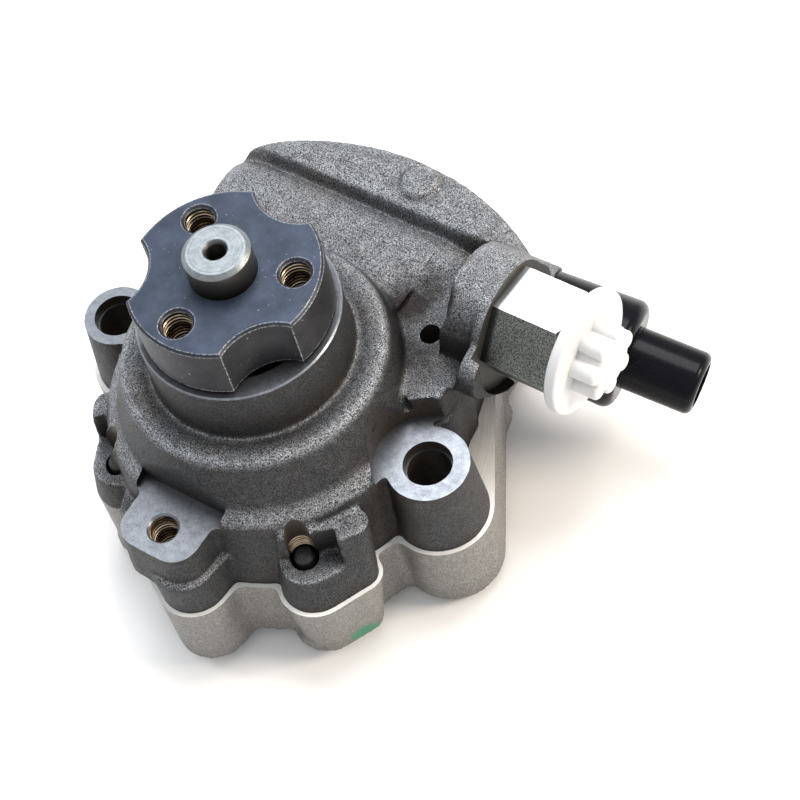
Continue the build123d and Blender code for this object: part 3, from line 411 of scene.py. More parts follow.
finish = {
    "iron": ironMaterial(
        {"Dark": (0.02, 0.0195, 0.0195), "Light": (0.53, 0.555, 0.59), "Stain": (0.3, 0.14, 0.055),
         "Grain Scale": 3.0, "Stain Amount": 0.25, "Wall": 0.16, "Crease": 0.85, "Bump": 1.0},
        [((25.0, 36.0, -46.0), 9.0, 0.85), ((27.5, 44.0, -46.0), 7.0, 0.6),
         ((33.0, 21.0, -50.0), 11.0, 0.8), ((-30.5, -34.5, -60.0), 9.0, 0.7)]),
    "ironFace": machinedMaterial("ironMachined", {
        "Pitch": 3.0, "Centre": (52.5, 0, 0), "Low": (0.12, 0.13, 0.15), "High": (0.32, 0.345, 0.385),
        "Crease": 0.85, "Lines": 0.2}, 0.6),
    # painted shade: a dark brown copy of the machined iron for walls and the inside of holes
    "ironWallShade": machinedMaterial("ironTurnedWallShade", {
        "Pitch": 1.6, "Centre": (52.5, 0, 0), "Low": (0.03, 0.024, 0.02), "High": (0.09, 0.07, 0.055)}, 0.6),
    "portFace": grainMaterial("portSpotFace", 0.3, {
        "Dark": (0.04, 0.039, 0.034), "Light": (0.1, 0.098, 0.09), "Grain Scale": 3.0, "Stain Amount": 0.1,
        "Wall": 0.6, "Crease": 0.5, "Bump": 0.2}),
    "cover": coverMaterial(
        {"Dark": (0.13, 0.122, 0.112), "Light": (0.36, 0.35, 0.33), "Stain": (0.24, 0.2, 0.15),
         "Grain Scale": 2.6, "Stain Amount": 0.3, "Wall": 0.8, "Crease": 0.4, "Bump": 0.35},
        {"place": (44.4, -33.3, -101.5), "turn": (0.0, 0.45, 0.9), "size": (5.2, 4.2, 3.4),
         "paint": (0.02, 0.22, 0.11), "cover": 0.85}),
    "coverFace": machinedMaterial("coverMachined", {
        "Pitch": 1.6, "Low": (0.72, 0.71, 0.69), "High": (0.92, 0.91, 0.89), "Bump": 0.1}, 0.1),
    "flange": flangeMaterial(),
    "shaft": shaftMaterial({"Pitch": 2.0, "Low": (0.15, 0.16, 0.17), "High": (0.32, 0.36, 0.38),
                            "Lines": 0.4, "Dull": 1.35, "Crease": 0.6}),
    "thread": machinedMaterial("threadSteel", {
        "Pitch": 1.2, "Low": (0.34, 0.25, 0.16), "High": (0.66, 0.53, 0.38), "Lines": 0.2}),
    "bearing": machinedMaterial("bearingSteel", {"Pitch": 3.0, "Bump": 0.05}),
    "ground": machinedMaterial("groundSteel", {"Pitch": 3.0, "Low": (0.3, 0.3, 0.31), "High": (0.55, 0.55, 0.56)}),
    "spring": machinedMaterial("springSteel", {"Pitch": 2.0, "Low": (0.06, 0.055, 0.05), "High": (0.2, 0.19, 0.18)}),
    "bush": machinedMaterial("bushBronze", {"Pitch": 2.0, "Low": (0.4, 0.25, 0.1), "High": (0.7, 0.5, 0.26)}),
    "zinc": zincMaterial(),
    "screw": grainMaterial("blackScrew", 0.3, {
        "Dark": (0.006, 0.006, 0.007), "Light": (0.05, 0.05, 0.055), "Grain Scale": 2.0, "Stain Amount": 0.1,
        "Bump": 0.15}),
    "cap": plasticMaterial("capPlastic", (0.61, 0.61, 0.605), 0.45, 0.05, Subsurface_Weight=0.1,
                           Subsurface_Scale=0.002),
    "inlet": plasticMaterial("inletPlastic", (0.002, 0.002, 0.004), 0.26, 0.03, Specular_IOR_Level=0.1,
                             Coat_Weight=0.03, Coat_Roughness=0.05),
    "rubber": plasticMaterial("blackRubber", (0.018, 0.018, 0.018), 0.6, 0.3),
}
report("materials")


# Mesh tools

def newObject(name, mesh, materials=()):
    made = bpy.data.objects.new(name, mesh)
    bpy.context.scene.collection.objects.link(made)
    for material in materials:
        mesh.materials.append(material)
    return made


# a node's shape with its doubles merged
def mergedCopy(node):
    shape = bmesh.new()
    shape.from_mesh(nodes[node].data)
    bmesh.ops.remove_doubles(shape, verts=shape.verts, dist=2e-6)
    return shape


# a closed cylinder along an axis, between two distances from its centre, all in mm
def ringTube(shape, centre, axis, radius, low, high, sides=64):
    turn = Vector(axis).normalized().to_track_quat("Z", "Y").to_matrix().to_4x4()
    place = Matrix.Translation(point(centre)) @ turn @ Matrix.Translation((0, 0, (low + high) / 2 * mm))
    bmesh.ops.create_cone(shape, cap_ends=True, segments=sides, radius1=radius * mm, radius2=radius * mm,
                          depth=(high - low) * mm, matrix=place)


def block(shape, low, high):
    low, high = point(low), point(high)
    place = Matrix.Translation((low + high) / 2) @ Matrix.Diagonal((*(high - low), 1.0))
    bmesh.ops.create_cube(shape, size=1.0, matrix=place)


# faces from each ring of points to the next
def bridge(shape, pairs, closed=True):
    for here, following in pairs:
        count = len(here)
        for index in range(count if closed else count - 1):
            after = (index + 1) % count
            shape.faces.new((here[index], following[index], following[after], here[after]))


# a section turned about Z: a closed one makes a ring, an open one a solid with flat ends
def turned(shape, section, sides=128, closed=False):
    rings = []
    for step in range(sides):
        angle = 2 * math.pi * step / sides
        rings.append([shape.verts.new((r * mm * math.cos(angle), r * mm * math.sin(angle), h * mm))
                      for r, h in section])
    bridge(shape, zip(rings, rings[1:] + rings[:1]), closed)
    if not closed:
        shape.faces.new([ring[0] for ring in reversed(rings)])
        shape.faces.new([ring[-1] for ring in rings])


def meshOf(shape, name):
    mesh = bpy.data.meshes.new(name)
    shape.to_mesh(mesh)
    shape.free()
    return mesh


# flat faces that look up or down take the first material index, the others the second
def asMesh(shape, name, flatIndex=0, wallIndex=0):
    bmesh.ops.recalc_face_normals(shape, faces=shape.faces)
    for face in shape.faces:
        face.material_index = flatIndex if abs(face.normal.z) > 0.7 else wallIndex
    return meshOf(shape, name)


def baked(piece):
    graph = bpy.context.evaluated_depsgraph_get()
    mesh = bpy.data.meshes.new_from_object(piece.evaluated_get(graph), depsgraph=graph)
    piece.modifiers.clear()
    old = piece.data
    piece.data = mesh
    bpy.data.meshes.remove(old)
    mesh.name = piece.name


def smoothShade(mesh, degrees):
    mesh.shade_smooth()
    mesh.set_sharp_from_angle(angle=math.radians(degrees))


# every tree ends with real geometry that carries its material
def closeTree(tree, start, end, geometry):
    real = addNode(tree, "GeometryNodeRealizeInstances", Geometry=geometry)
    paint = addNode(tree, "GeometryNodeSetMaterial", Geometry=real.outputs["Geometry"],
                    Material=start.outputs["Material"])
    link(tree, paint.outputs["Geometry"], end.inputs["Geometry"])
    return tree


def skinTree():
    # moves a casting's skin in and out by a noise, along its normals
    tree, start, end = newTree(
        "GeometryNodeTree", "castSkin",
        [("Geometry", "Geometry"), ("Grain Size", "Float"), ("Depth", "Float"), ("Material", "Material")],
        [("Geometry", "Geometry")])
    grain = addNode(tree, "ShaderNodeTexNoise", Detail=2.0, Roughness=0.55,
                    Scale=mathNode(tree, "DIVIDE", 1.0, start.outputs["Grain Size"]))
    depth = times(tree, mathNode(tree, "SUBTRACT", grain.outputs["Fac"], 0.5), start.outputs["Depth"])
    normal = tree.nodes.new("GeometryNodeInputNormal")
    offset = addNode(tree, "ShaderNodeVectorMath", {"operation": "SCALE"}, Vector=normal.outputs[0], Scale=depth)
    move = addNode(tree, "GeometryNodeSetPosition", Geometry=start.outputs["Geometry"], Offset=offset.outputs[0])
    return closeTree(tree, start, end, move.outputs["Geometry"])


def threadTree():
    # a ridge wound round Z at every point of the input mesh
    tree, start, end = newTree(
        "GeometryNodeTree", "screwThread",
        [("Geometry", "Geometry"), ("Radius", "Float"), ("Ridge", "Float"), ("Turns", "Float"), ("Height", "Float"),
         ("Material", "Material")], [("Geometry", "Geometry")])
    wanted = start.outputs
    spiral = addNode(tree, "GeometryNodeCurveSpiral", Resolution=36, Start_Radius=wanted["Radius"],
                     End_Radius=wanted["Radius"], Rotations=wanted["Turns"], Height=wanted["Height"])
    ridge = addNode(tree, "GeometryNodeCurvePrimitiveCircle", Resolution=4, Radius=wanted["Ridge"])
    tube = addNode(tree, "GeometryNodeCurveToMesh", Curve=spiral.outputs["Curve"],
                   Profile_Curve=ridge.outputs["Curve"], Fill_Caps=True)
    each = addNode(tree, "GeometryNodeInstanceOnPoints", Points=wanted["Geometry"], Instance=tube.outputs["Mesh"])
    return closeTree(tree, start, end, each.outputs["Instances"])


trees = {"skin": skinTree(), "thread": threadTree()}


def runTree(piece, tree, values):
    modifier = piece.modifiers.new(tree.name, "NODES")
    modifier.node_group = tree
    for item in tree.interface.items_tree:
        if item.in_out == "INPUT" and item.name in values:
            modifier[item.identifier] = values[item.name]


def addTools(piece, cutters, materials):
    tools = []
    for index, cutter in enumerate(cutters):
        tool = newObject(f"{piece.name}Tool{index}", cutter, materials)
        cut = piece.modifiers.new("cut", "BOOLEAN")
        cut.operation = "DIFFERENCE"
        cut.solver = "MANIFOLD"
        cut.object = tool
        tools.append(tool)
    return tools


def bakedWithout(piece, tools):
    baked(piece)
    for tool in tools:
        bpy.data.objects.remove(tool)


# the mould shapes the rough casting, the skin roughens it, and the cutters leave crisp machined faces
def castPiece(name, blank, mould, cutters, values, materials):
    piece = newObject(name, blank, materials)
    remesh = piece.modifiers.new("remesh", "REMESH")
    remesh.mode = "VOXEL"
    remesh.voxel_size = values["voxel"] * mm
    baked(piece)
    if mould:
        for vertex in piece.data.vertices:
            x, y, z = vertex.co / mm
            vertex.co.z = mould(x, y, z) * mm
    smooth = piece.modifiers.new("smooth", "SMOOTH")
    smooth.factor = 0.5
    smooth.iterations = values["rounding"]
    runTree(piece, trees["skin"], {"Grain Size": values["grainSize"] * mm, "Depth": values["grainDepth"] * mm,
                                   "Material": materials[0]})
    bakedWithout(piece, addTools(piece, cutters, materials))
    smoothShade(piece.data, 38)
    report(f"{name}, {len(piece.data.polygons)} faces")
    return piece


# draws the faces that lie flat at a level out by a shift, both in mm, as stock for a later cut
def extendFlat(shape, level, shift, axis=2):
    flat = [f for f in shape.faces if all(abs(v.co[axis] - level * mm) < 1e-5 for v in f.verts)]
    made = bmesh.ops.extrude_face_region(shape, geom=flat)
    way = [0.0, 0.0, 0.0]
    way[axis] = shift * mm
    bmesh.ops.translate(shape, verts=[v for v in made["geom"] if isinstance(v, bmesh.types.BMVert)], vec=way)
    bmesh.ops.delete(shape, geom=flat, context="FACES_ONLY")


# Front housing: the CAD shape as a blank with stock on every machined face, then the cuts

housing = {
    "voxel": 0.75, "rounding": 4, "grainSize": 1.9, "grainDepth": 0.28,
    "noseRadius": 27.6, "noseFace": -17.5, "noseChamfer": 0.45, "joint": -79.0, "stock": 3.0,
    "bores": [(0.01, -10.0), (21.7, -10.0), (21.7, -17.5), (21.0, -18.7), (21.0, -19.5), (22.1, -19.5),
              (22.1, -21.25), (21.0, -21.25), (21.0, -33.25), (17.5, -33.25), (17.5, -37.6), (16.0, -38.2),
              (16.0, -45.2), (9.6, -45.2), (9.6, -50.0), (34.0, -50.0), (34.0, -90.0), (0.01, -90.0)],
    "earX": 52.5, "earFace": -55.0, "earHole": 6.1, "earStep": 6.8, "earStepDeep": 3.4, "earCutter": 15.0,
    "padY": -49.8, "padInner": -38.5, "padHalf": 12.0, "padThread": 4.0, "padDeep": 18.0, "padMouth": 0.6,
    "port": (54.0, 43.1, -43.2), "portSpot": 20.5, "portThread": 10.95, "portBoss": 17.6,
    "drilling": (35.4, 30.6, -46.0), "drillingRadius": 3.0,
    "valve": (-47.6, 50.5, -57.5), "valveRadius": 8.0, "valveEnd": 29.0, "plugRadius": 9.45,
    "screwLower": ((32.8, -34.4), (-30.5, -34.5)), "screwRadius": 4.02, "screwTop": -65.0,
    "archRadius": 3.55, "archShift": 3.6,
    "screwUpper": ((-41.0, 34.5), (0.0, 70.0), (35.0, 41.0)), "screwUpperTop": -61.0,
    "inletRoot": (49.5, 59.9, -69.1), "inletWay": (1.0, 0.14, -0.2), "inletSwell": 0.8,
    "inletSteps": ((15.8, 0.0, 14.0, 72), (9.02, -9.5, 3.0, 64), (6.0, -17.0, 3.0, 48)),
    "chamber": ((-30.0, 50.0), (36.0, 62.0), -68.5),
    "collar": {"deep": 3.3, "wide": 7.0, "top": -30.5},
    "crownRadius": 15.2, "ridgeTop": -42.45, "rimY": 57.3, "rimTop": -39.8, "rimWide": 3.2,
    "slopeX": 23.0, "slopeLong": 14.0, "slopeDeep": 3.2,
    "hollow": {"line": (27.5, 46.0, 25.5, 32.0), "deep": 2.2, "wide": 4.0},
    "shelf": {"left": 35.5, "right": 51.0, "near": 18.0, "far": 43.0, "level": -46.0, "ring": 3.4,
              "steep": 3.4, "waist": 1.8},
    "bank": {"left": 12.0, "right": 24.2, "wide": 11.5, "fall": 2.4},
    "lobeEnd": {"start": -33.0, "wide": 17.0, "fall": 8.0},
    "lobeRim": {"centre": (4.0, -3.3), "start": 73.0, "wide": 9.0, "fall": 3.6},
    "disc": {"centre": (8.3, 69.2), "radius": 5.6, "edge": 0.6, "wide": 0.75, "deep": 0.75, "rise": 0.35},
}


def housingBlank():
    shape = mergedCopy("front_housing")
    stock, ear, port, valve = housing["stock"], housing["earFace"], housing["port"], housing["valve"]
    extendFlat(shape, housing["joint"], -stock)
    extendFlat(shape, housing["noseFace"], stock)
    extendFlat(shape, ear, stock)
    extendFlat(shape, port[0], stock, 0)
    # every bore is filled, so that the casting is solid until it is cut
    ringTube(shape, (0, 0, 0), up, 35.0, -82.0, -49.0)
    ringTube(shape, (0, 0, 0), up, 23.2, -51.0, housing["noseFace"] + stock)
    for side in (1, -1):
        ringTube(shape, (side * housing["earX"], 0, 0), up, 6.6, -82.0, ear + stock)
    ringTube(shape, (0, housing["padY"], 0), up, 5.0, -76.0, ear + stock)
    ringTube(shape, housing["drilling"], up, 3.6, -13.0, -0.6, 32)
    ringTube(shape, port, across, 11.5, -14.5, -0.5)
    ringTube(shape, port, across, 12.0, -3.0, stock)
    ringTube(shape, valve, across, 8.6, 0.2, housing["valveEnd"] - valve[0] + 0.6)
    ringTube(shape, valve, across, 10.0, 0.2, 12.0)
    for x, y in housing["screwLower"]:
        ringTube(shape, (x, y, 0), up, 4.6, -82.0, -68.5, 32)
        inward = 1.0 - housing["archShift"] / math.hypot(x, y)
        ringTube(shape, (x * inward, y * inward, 0), up, 5.4, -67.4, -56.5, 48)
    for x, y in housing["screwUpper"]:
        ringTube(shape, (x, y, 0), up, 4.6, -82.0, -60.4, 32)
    (x0, y0), (x1, y1), top = housing["chamber"]
    block(shape, (x0 - 0.6, y0 - 0.6, -82.0), (x1 + 0.6, y1 + 0.6, top + 0.6))
    ringTube(shape, housing["inletRoot"], housing["inletWay"], 9.6, -10.1, -0.3)
    ringTube(shape, housing["inletRoot"], housing["inletWay"], 6.6, -17.6, -8.0)
    return asMesh(shape, "housingBlank")


def clamp(value):
    return min(1.0, max(0.0, value))


def roundDrop(share):
    return 1.0 - math.sqrt(1.0 - min(share * share, 0.92))


def eased(share):
    share = clamp(share)
    return share * share * (3.0 - 2.0 * share)


# how far a point lies from the line of the hollow between the dome and the port
def fromHollow(x, y):
    startX, startY, endX, endY = housing["hollow"]["line"]
    alongX, alongY = endX - startX, endY - startY
    share = clamp(((x - startX) * alongX + (y - startY) * alongY) / (alongX * alongX + alongY * alongY))
    return math.hypot(x - startX - share * alongX, y - startY - share * alongY)


# the crowned ridge over the valve bore: it sinks towards the port and rises in a step to the lobe's rim
def ridgeHeight(x, y):
    crown = housing["crownRadius"]
    aside = y - housing["valve"][1]
    fall = crown - math.sqrt(crown * crown - min(abs(aside), 7.4) ** 2)
    if aside < 0:
        fall *= clamp((y - 31.0) / 9.0)
    sink = eased((x - housing["slopeX"]) / housing["slopeLong"])
    level = housing["ridgeTop"] - fall * (1.0 - 0.6 * sink) - housing["slopeDeep"] * sink
    return level + (housing["rimTop"] - level) * eased((y - housing["rimY"]) / housing["rimWide"])


# the height of a point of the rough casting after the roll, crown and rounded ends are moulded in
def mouldHousing(x, y, z):
    collar, shelf, bank, hollow = housing["collar"], housing["shelf"], housing["bank"], housing["hollow"]
    end, rim, disc = housing["lobeEnd"], housing["lobeRim"], housing["disc"]
    fromShaft = math.hypot(x, y) - housing["noseRadius"]
    if -0.4 < fromShaft < collar["wide"] and -45 < z < collar["top"]:
        share = (1.0 - clamp(fromShaft / collar["wide"])) ** 1.4
        return z - collar["deep"] * share * clamp((collar["top"] - z) / 2.0)
    level = shelf["level"]
    if shelf["left"] < x < shelf["right"] and shelf["near"] < y < shelf["far"] and z > level:
        drillingX, drillingY, _ = housing["drilling"]
        fromRing = math.hypot(x - drillingX, y - drillingY) - shelf["ring"]
        below = housing["port"][1] - y
        radius = housing["portBoss"] - shelf["waist"] * clamp((below - 6.0) / 8.0)
        boss = level
        if below < radius:
            boss = housing["port"][2] + math.sqrt(radius ** 2 - below ** 2)
        z = min(z, level + shelf["steep"] * max(0.0, fromRing), max(boss, level))
    if y < 30 or z < -62 or fromShaft < 12.0:
        return z
    top = z
    if bank["left"] < x < bank["right"] and -43.5 < z < -41.0:
        share = eased((x - bank["left"]) / bank["wide"])
        top -= bank["fall"] * share * clamp((y - 30.0) / 2.0) * clamp((46.0 - y) / 4.0)
    if fromShaft < 18.5:
        return top
    if y < housing["rimY"] + 3.4 and x < 40.5 and -47.5 < z < -39.0:
        target = ridgeHeight(x, y)
        if x > housing["slopeX"] and z < -43.2:
            top += (target - z) * clamp((y - 30.5) / 4.0) * clamp((40.5 - x) / 2.5)
        elif y > housing["valve"][1] or z < housing["ridgeTop"] + 0.2:
            top = min(z, target)
    if z > -48:
        share = math.exp(-(fromHollow(x, y) / hollow["wide"]) ** 2)
        top -= hollow["deep"] * share * clamp((z + 48.0) / 3.0)
    if x < end["start"]:
        top -= end["fall"] * roundDrop((end["start"] - x) / end["wide"]) * clamp((z + 62.0) / 18.0)
    outward = math.hypot(x - rim["centre"][0], y - rim["centre"][1])
    if outward > rim["start"]:
        top -= rim["fall"] * roundDrop((outward - rim["start"]) / rim["wide"]) * clamp((z + 60.0) / 16.0)
    fromDisc = math.hypot(x - disc["centre"][0], y - disc["centre"][1]) - disc["radius"]
    if z > -43 and abs(fromDisc) < 8:
        top -= disc["deep"] * math.exp(-((fromDisc - disc["edge"]) / disc["wide"]) ** 2)
        top += disc["rise"] * clamp(-fromDisc / disc["edge"])
    return top


# a tapped hole with a 45 degree mouth, straight down from a flat face
def tappedHole(shape, place, radius, deep, mouth):
    turned(shape, [(0.01, 1.0), (radius + mouth + 1.0, 1.0), (radius, -mouth), (radius, -deep), (0.01, -deep)], 48)
    bmesh.ops.translate(shape, verts=shape.verts, vec=point(place))


# a list of cutters and the function that adds one; wall and flat are the material indices of its faces
def cutterList():
    cutters = []

    def cut(build, *values, wall=1, flat=1):
        shape = bmesh.new()
        build(shape, *values)
        cutters.append(asMesh(shape, "tool", flat, wall))

    return cutters, cut


def housingCutters():
    cutters, cut = cutterList()
    nose, radius, edge = housing["noseFace"], housing["noseRadius"], housing["noseChamfer"]
    ear, port, valve = housing["earFace"], housing["port"], housing["valve"]
    # joint face, nose face and the turned bores inside
    cut(block, (-120, -120, -120), (120, 120, housing["joint"]))
    cut(ringTube, (0, 0, 0), up, 32.0, nose, 0.0, 96)
    cut(turned, housing["bores"], wall=2)
    cut(turned, [(radius - edge, nose + 0.4), (radius + 2, nose + 0.4), (radius + 2, nose - 2.2),
                 (radius, nose - edge), (radius - edge, nose)], 128, True)
    # spot faces, then the holes in them
    for side in (1, -1):
        centre = (side * housing["earX"], 0, 0)
        cut(ringTube, centre, up, housing["earCutter"], ear, -15.0, 96, wall=2)
        cut(ringTube, centre, up, housing["earHole"], -90.0, -50.0, 72, wall=2)
        cut(ringTube, centre, up, housing["earStep"], ear - housing["earStepDeep"], -50.0, 72, wall=2)
    half = housing["padHalf"] + 2
    cut(block, (-half, -90, ear), (half, housing["padInner"], -15), wall=0)
    cut(tappedHole, (0, housing["padY"], ear), housing["padThread"], housing["padDeep"], housing["padMouth"], wall=2)
    cut(ringTube, port, across, housing["portSpot"], 0.0, 14.0, 96, wall=3, flat=3)
    cut(ringTube, port, across, housing["portThread"], -13.5, 5.0)
    cut(ringTube, housing["drilling"], up, housing["drillingRadius"], -9.0, 12.0, 40, wall=2)
    cut(ringTube, valve, across, housing["valveRadius"], -6.0, housing["valveEnd"] - valve[0])
    cut(ringTube, valve, across, housing["plugRadius"], -6.0, 11.0)
    # screw holes, suction chamber and the inlet's steps
    for x, y in housing["screwLower"]:
        cut(ringTube, (x, y, 0), up, housing["screwRadius"], -90.0, housing["screwTop"], 40)
        cut(ringTube, (x, y, 0), up, housing["archRadius"], -70.0, -40.0, 48, wall=2)
    for x, y in housing["screwUpper"]:
        cut(ringTube, (x, y, 0), up, housing["screwRadius"], -90.0, housing["screwUpperTop"], 40)
    (x0, y0), (x1, y1), top = housing["chamber"]
    cut(block, (x0, y0, -90), (x1, y1, top))
    for step in housing["inletSteps"]:
        cut(ringTube, housing["inletRoot"], housing["inletWay"], *step)
    return cutters


# the third material is the painted shade on machined walls and in holes
housingCasting = castPiece("housingCasting", housingBlank(), mouldHousing, housingCutters(), housing,
                           [finish["iron"], finish["ironFace"], finish["ironWallShade"], finish["portFace"]])
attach(housingCasting, "housing")
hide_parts("front_housing")


# Rear cover

cover = {
    "voxel": 1.1, "rounding": 4, "grainSize": 4.0, "grainDepth": 0.12,
    "joint": -79.0, "stock": 3.0, "back": -105.0, "earX": 52.5, "earHole": 5.2,
    "well": 34.0, "wellDeep": 11.5, "bush": 8.5, "bushDeep": 9.0, "groove": (35.8, 38.2, -81.04),
    "screwHole": 4.4, "seat": 9.4, "seatDeep": 1.3,
}


def coverScrews():
    return housing["screwLower"] + housing["screwUpper"]


def coverBlank():
    shape = mergedCopy("rear_cover")
    extendFlat(shape, cover["joint"], cover["stock"])
    ringTube(shape, (0, 0, 0), up, 39.0, -93.0, -76.0)
    ringTube(shape, (0, 0, 0), up, 9.2, -101.9, -89.0)
    for side in (1, -1):
        ringTube(shape, (side * cover["earX"], 0, 0), up, 5.8, -107.8, -76.0, 48)
    for x, y in coverScrews():
        ringTube(shape, (x, y, 0), up, 5.0, -104.8, -76.0, 48)
        ringTube(shape, (x, y, 0), up, 10.2, -104.9, -103.0, 48)
    return asMesh(shape, "coverBlank")


def coverCutters():
    cutters, cut = cutterList()
    well, bush, (inner, outer, grooveDeep) = cover["well"], cover["bush"], cover["groove"]
    wellFloor = cover["joint"] - cover["wellDeep"]
    bushFloor = wellFloor - cover["bushDeep"]
    cut(block, (-120, -120, cover["joint"]), (120, 120, -60))
    cut(turned, [(0.01, -70.0), (well, -70.0), (well, wellFloor), (bush, wellFloor), (bush, bushFloor),
                 (0.01, bushFloor)])
    cut(turned, [(inner, -70.0), (outer, -70.0), (outer, grooveDeep), (inner, grooveDeep)], 128, True)
    for side in (1, -1):
        cut(ringTube, (side * cover["earX"], 0, 0), up, cover["earHole"], -120.0, -70.0)
    for x, y in coverScrews():
        cut(ringTube, (x, y, 0), up, cover["screwHole"], -120.0, -70.0, 40)
        cut(ringTube, (x, y, 0), up, cover["seat"], -120.0, cover["back"] + cover["seatDeep"])
    return cutters


coverCasting = castPiece("coverCasting", coverBlank(), None, coverCutters(), cover,
                         [finish["cover"], finish["coverFace"]])
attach(coverCasting, "housing")
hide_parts("rear_cover")


# Turned and moulded pieces: the CAD shape with softened edges

# adjust moves points of the shape, in mm, and cuts are taken out before the edges are softened
def softened(node, name, body, material, width, cuts=(), adjust=None):
    shape = mergedCopy(node)
    if adjust:
        for vertex in shape.verts:
            vertex.co = point(adjust(*(vertex.co / mm)))
    bmesh.ops.dissolve_limit(shape, angle_limit=math.radians(0.6), verts=shape.verts, edges=shape.edges)
    mesh = meshOf(shape, name)
    piece = newObject(name, mesh)
    mesh.materials.clear()
    mesh.materials.append(material)
    for polygon in mesh.polygons:
        polygon.material_index = 0
    tools = addTools(piece, [asMesh(cutter, "tool") for cutter in cuts], [material])
    bevel = piece.modifiers.new("bevel", "BEVEL")
    bevel.width = width * mm
    bevel.segments = 2
    bevel.limit_method = "ANGLE"
    bevel.angle_limit = math.radians(30)
    bakedWithout(piece, tools)
    smoothShade(piece.data, 35)
    even = piece.modifiers.new("normals", "WEIGHTED_NORMAL")
    even.keep_sharp = True
    baked(piece)
    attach(piece, body)
    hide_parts(node)
    return piece


def windThread(name, places, body, values, material):
    shape = bmesh.new()
    for place in places:
        shape.verts.new(point(place))
    piece = newObject(name, meshOf(shape, name))
    runTree(piece, trees["thread"], {
        "Radius": values["radius"] * mm, "Ridge": values["ridge"] * mm,
        "Turns": values["long"] / values["pitch"], "Height": values["long"] * mm, "Material": material,
    })
    baked(piece)
    piece.data.materials.clear()
    piece.data.materials.append(material)
    smoothShade(piece.data, 30)
    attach(piece, body)
    return piece


flange = {"circle": 18.8, "firstHole": 25.2, "count": 3, "threadRadius": 4.0, "ridge": 0.24, "pitch": 1.25,
          "thick": 16.2, "edge": 0.3, "recess": 10.2, "recessDeep": 2.2, "mouth": 9.05, "chamfer": 0.8}


def flangeHoles():
    places = []
    for index in range(flange["count"]):
        angle = math.radians(flange["firstHole"] + index * 360 / flange["count"])
        places.append((flange["circle"] * math.cos(angle), flange["circle"] * math.sin(angle)))
    return places


def flangeCutters():
    cutters = []
    for x, y in flangeHoles():
        shape = bmesh.new()
        tappedHole(shape, (x, y, 0), flange["threadRadius"], flange["thick"] + 3, flange["chamfer"])
        cutters.append(shape)
    return cutters


# the recess round the shaft is filled almost flush and its wall closes up to the shaft
def closeRecess(x, y, z):
    radius = math.hypot(x, y)
    if radius > flange["recess"] + 0.2 or z < -flange["recessDeep"] - 0.2:
        return x, y, z
    share = flange["mouth"] / radius if radius > flange["mouth"] else 1.0
    return x * share, y * share, max(z, -0.25)


# the seat's shoulder goes just below the flange's face
def lowerSeat(x, y, z):
    return x, y, (-0.4 if abs(z) < 0.05 and math.hypot(x, y) > 8.9 else z)


softened("drive_flange", "driveFlange", "rotating", finish["flange"], flange["edge"],
         cuts=flangeCutters(), adjust=closeRecess)
windThread("flangeThreads", [(x, y, -flange["thick"] + 0.8) for x, y in flangeHoles()], "rotating",
           {"radius": flange["threadRadius"] + 0.05, "ridge": flange["ridge"], "pitch": flange["pitch"],
            "long": flange["thick"] - 2.2}, finish["thread"])
padThreadFoot = (0, housing["padY"], housing["earFace"] - housing["padDeep"] + 1.0)
windThread("padThread", [padThreadFoot], "housing",
           {"radius": housing["padThread"], "ridge": flange["ridge"], "pitch": flange["pitch"],
            "long": housing["padDeep"] - 2.2}, finish["thread"])
softened("drive_shaft", "driveShaft", "rotating", finish["shaft"], 0.15, adjust=lowerSeat)
softened("outlet_union", "outletUnion", "housing", finish["zinc"], 0.35)
softened("outlet_cap", "outletCap", "outlet_plug", finish["cap"], 0.4)


# the connector's barrel swells a little outside its seat
def swellBarrel(x, y, z):
    way = Vector(housing["inletWay"]).normalized()
    place = Vector((x, y, z)) - Vector(housing["inletRoot"])
    along = place.dot(way)
    aside = place - way * along
    if along > 3.0 and aside.length > 12.0:
        return Vector((x, y, z)) + aside.normalized() * housing["inletSwell"]
    return x, y, z


softened("inlet_pipe", "inletPipe", "housing", finish["inlet"], 0.3, adjust=swellBarrel)


# the tips of the two lower screws end just above their ledges, with a narrower point
def pointTips(x, y, z):
    for centreX, centreY in housing["screwLower"]:
        if z > -66 and math.hypot(x - centreX, y - centreY) < 5:
            return centreX + (x - centreX) * 0.72, centreY + (y - centreY) * 0.72, z - 3.4
    return x, y, z


softened("cover_screws", "coverScrews", "housing", finish["screw"], 0.2, adjust=pointTips)
softened("flow_valve_plug", "valvePlug", "housing", finish["zinc"], 0.2)
softened("bearing_circlip", "bearingCirclip", "housing", finish["spring"], 0.12)


# a four-sided ridge bent round part of a circle at one height, all in mm
def arcRidge(shape, centre, radius, ridge, height, start, sweep, steps=16):
    rings = []
    for step in range(steps + 1):
        angle = start + sweep * step / steps
        ring = []
        for out, up in ((-ridge, 0.0), (0.0, ridge), (ridge, 0.0), (0.0, -ridge)):
            ring.append(shape.verts.new(point((centre[0] + (radius + out) * math.cos(angle),
                                               centre[1] + (radius + out) * math.sin(angle), height + up))))
        rings.append(ring)
    bridge(shape, zip(rings, rings[1:]))
    shape.faces.new(rings[0][::-1])
    shape.faces.new(rings[-1])


openThread = {"radius": 3.6, "ridge": 0.22, "pitch": 1.0, "turns": 5, "low": -66.6, "half": 1.1}


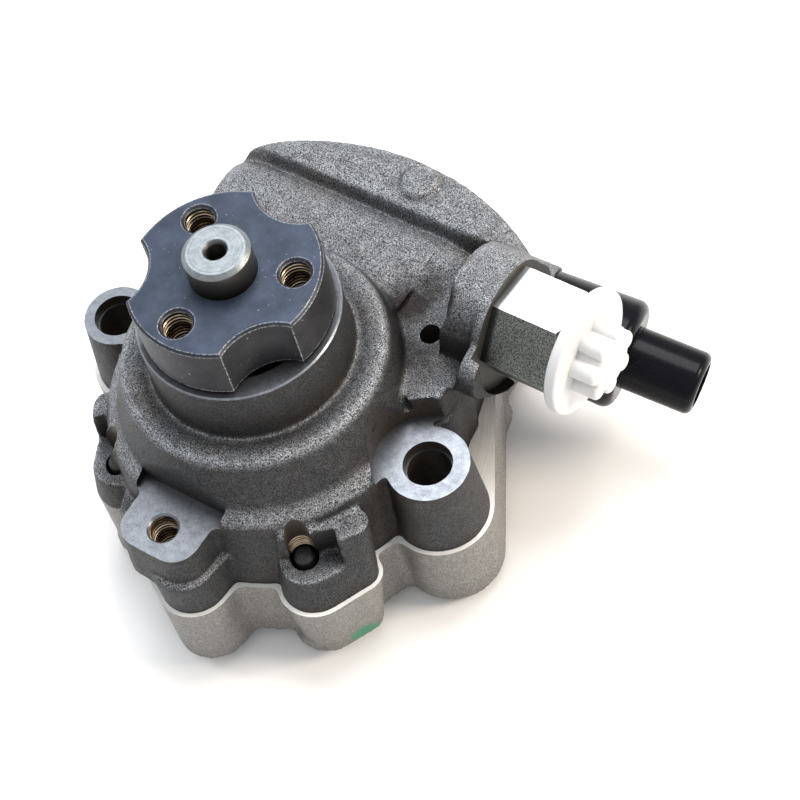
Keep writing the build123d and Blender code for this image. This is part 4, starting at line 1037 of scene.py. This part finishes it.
# ridges of the lower screw holes where the ledges lay them open
def openThreads():
    shape = bmesh.new()
    for centre in housing["screwLower"]:
        inward = math.atan2(centre[1], centre[0]) + math.pi
        for turn in range(openThread["turns"]):
            height = openThread["low"] + turn * openThread["pitch"]
            arcRidge(shape, centre, openThread["radius"], openThread["ridge"], height,
                     inward - openThread["half"], 2 * openThread["half"])
    piece = newObject("openThreads", asMesh(shape, "openThreads"), [finish["thread"]])
    smoothShade(piece.data, 30)
    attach(piece, "housing")


openThreads()


# the valve's spring as a copy with the spring steel material
def makeSpring():
    mesh = nodes["flow_valve_spring"].data.copy()
    mesh.materials.clear()
    spring = newObject("valveSpring", mesh, [finish["spring"]])
    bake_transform(spring)
    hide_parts("flow_valve_spring")


makeSpring()
report("turned pieces and threads")

plainNodes = {
    "cover_o_ring": "rubber", "shaft_seal": "rubber", "bearing_outer_ring": "bearing", "bearing_inner_ring": "bearing",
    "bearing_balls": "bearing", "bearing_cage": "bearing", "front_plate": "ground", "rear_plate": "ground",
    "cam_ring": "ground", "dowel_pins": "ground", "rotor": "ground", "rear_bush": "bush",
    "flow_valve_spool": "ground",
}
for index in range(10):
    plainNodes[f"vane_{index + 1:02d}"] = "ground"
for node, key in plainNodes.items():
    nodes[node].data.materials.clear()
    nodes[node].data.materials.append(finish[key])


# Floor, lamps, world and camera

def makeFloor():
    shape = bmesh.new()
    bmesh.ops.create_grid(shape, x_segments=1, y_segments=1, size=floorLevel["half"] * mm,
                          matrix=Matrix.Translation((0, 0, floorLevel["z"] * mm)))
    material = newMaterial("paleFloor", 0.0, 0.55, Base_Color=(0.94, 0.935, 0.925, 1))[0]
    floor = newObject("floor", meshOf(shape, "floor"), [material])


def makeLamps():
    for name, values in lamps.items():
        data = bpy.data.lights.new(name, "AREA")
        data.shape = "SQUARE"
        data.size = values["side"] * mm
        data.energy = values["power"]
        data.color = values["tint"]
        lamp = bpy.data.objects.new(name, data)
        bpy.context.scene.collection.objects.link(lamp)
        lamp.location = point(values["place"])
        lamp.rotation_mode = "QUATERNION"
        lamp.rotation_quaternion = (point(values["aim"]) - lamp.location).to_track_quat("-Z", "Y")


def makeWorld():
    world = bpy.data.worlds.new("studio")
    world.use_nodes = True
    world.node_tree.nodes["Background"].inputs["Color"].default_value = (0.97, 0.98, 1.0, 1)
    world.node_tree.nodes["Background"].inputs["Strength"].default_value = 0.86
    bpy.context.scene.world = world
    bpy.context.scene.view_settings.view_transform = "Standard"


def makeCamera():
    data = bpy.data.cameras.new("camera")
    data.lens = cameraView["lens"]
    data.sensor_width = 36.0
    camera = bpy.data.objects.new("camera", data)
    bpy.context.scene.collection.objects.link(camera)
    camera.location = point(cameraView["place"])
    look = (point(cameraView["aim"]) - camera.location).to_track_quat("-Z", "Y")
    camera.rotation_mode = "QUATERNION"
    camera.rotation_quaternion = look @ Quaternion((0, 0, 1), math.radians(cameraView["roll"]))
    data.clip_start, data.clip_end = 0.01, 20.0
    bpy.context.scene.camera = camera


makeFloor()
makeLamps()
makeWorld()
makeCamera()
report("studio")
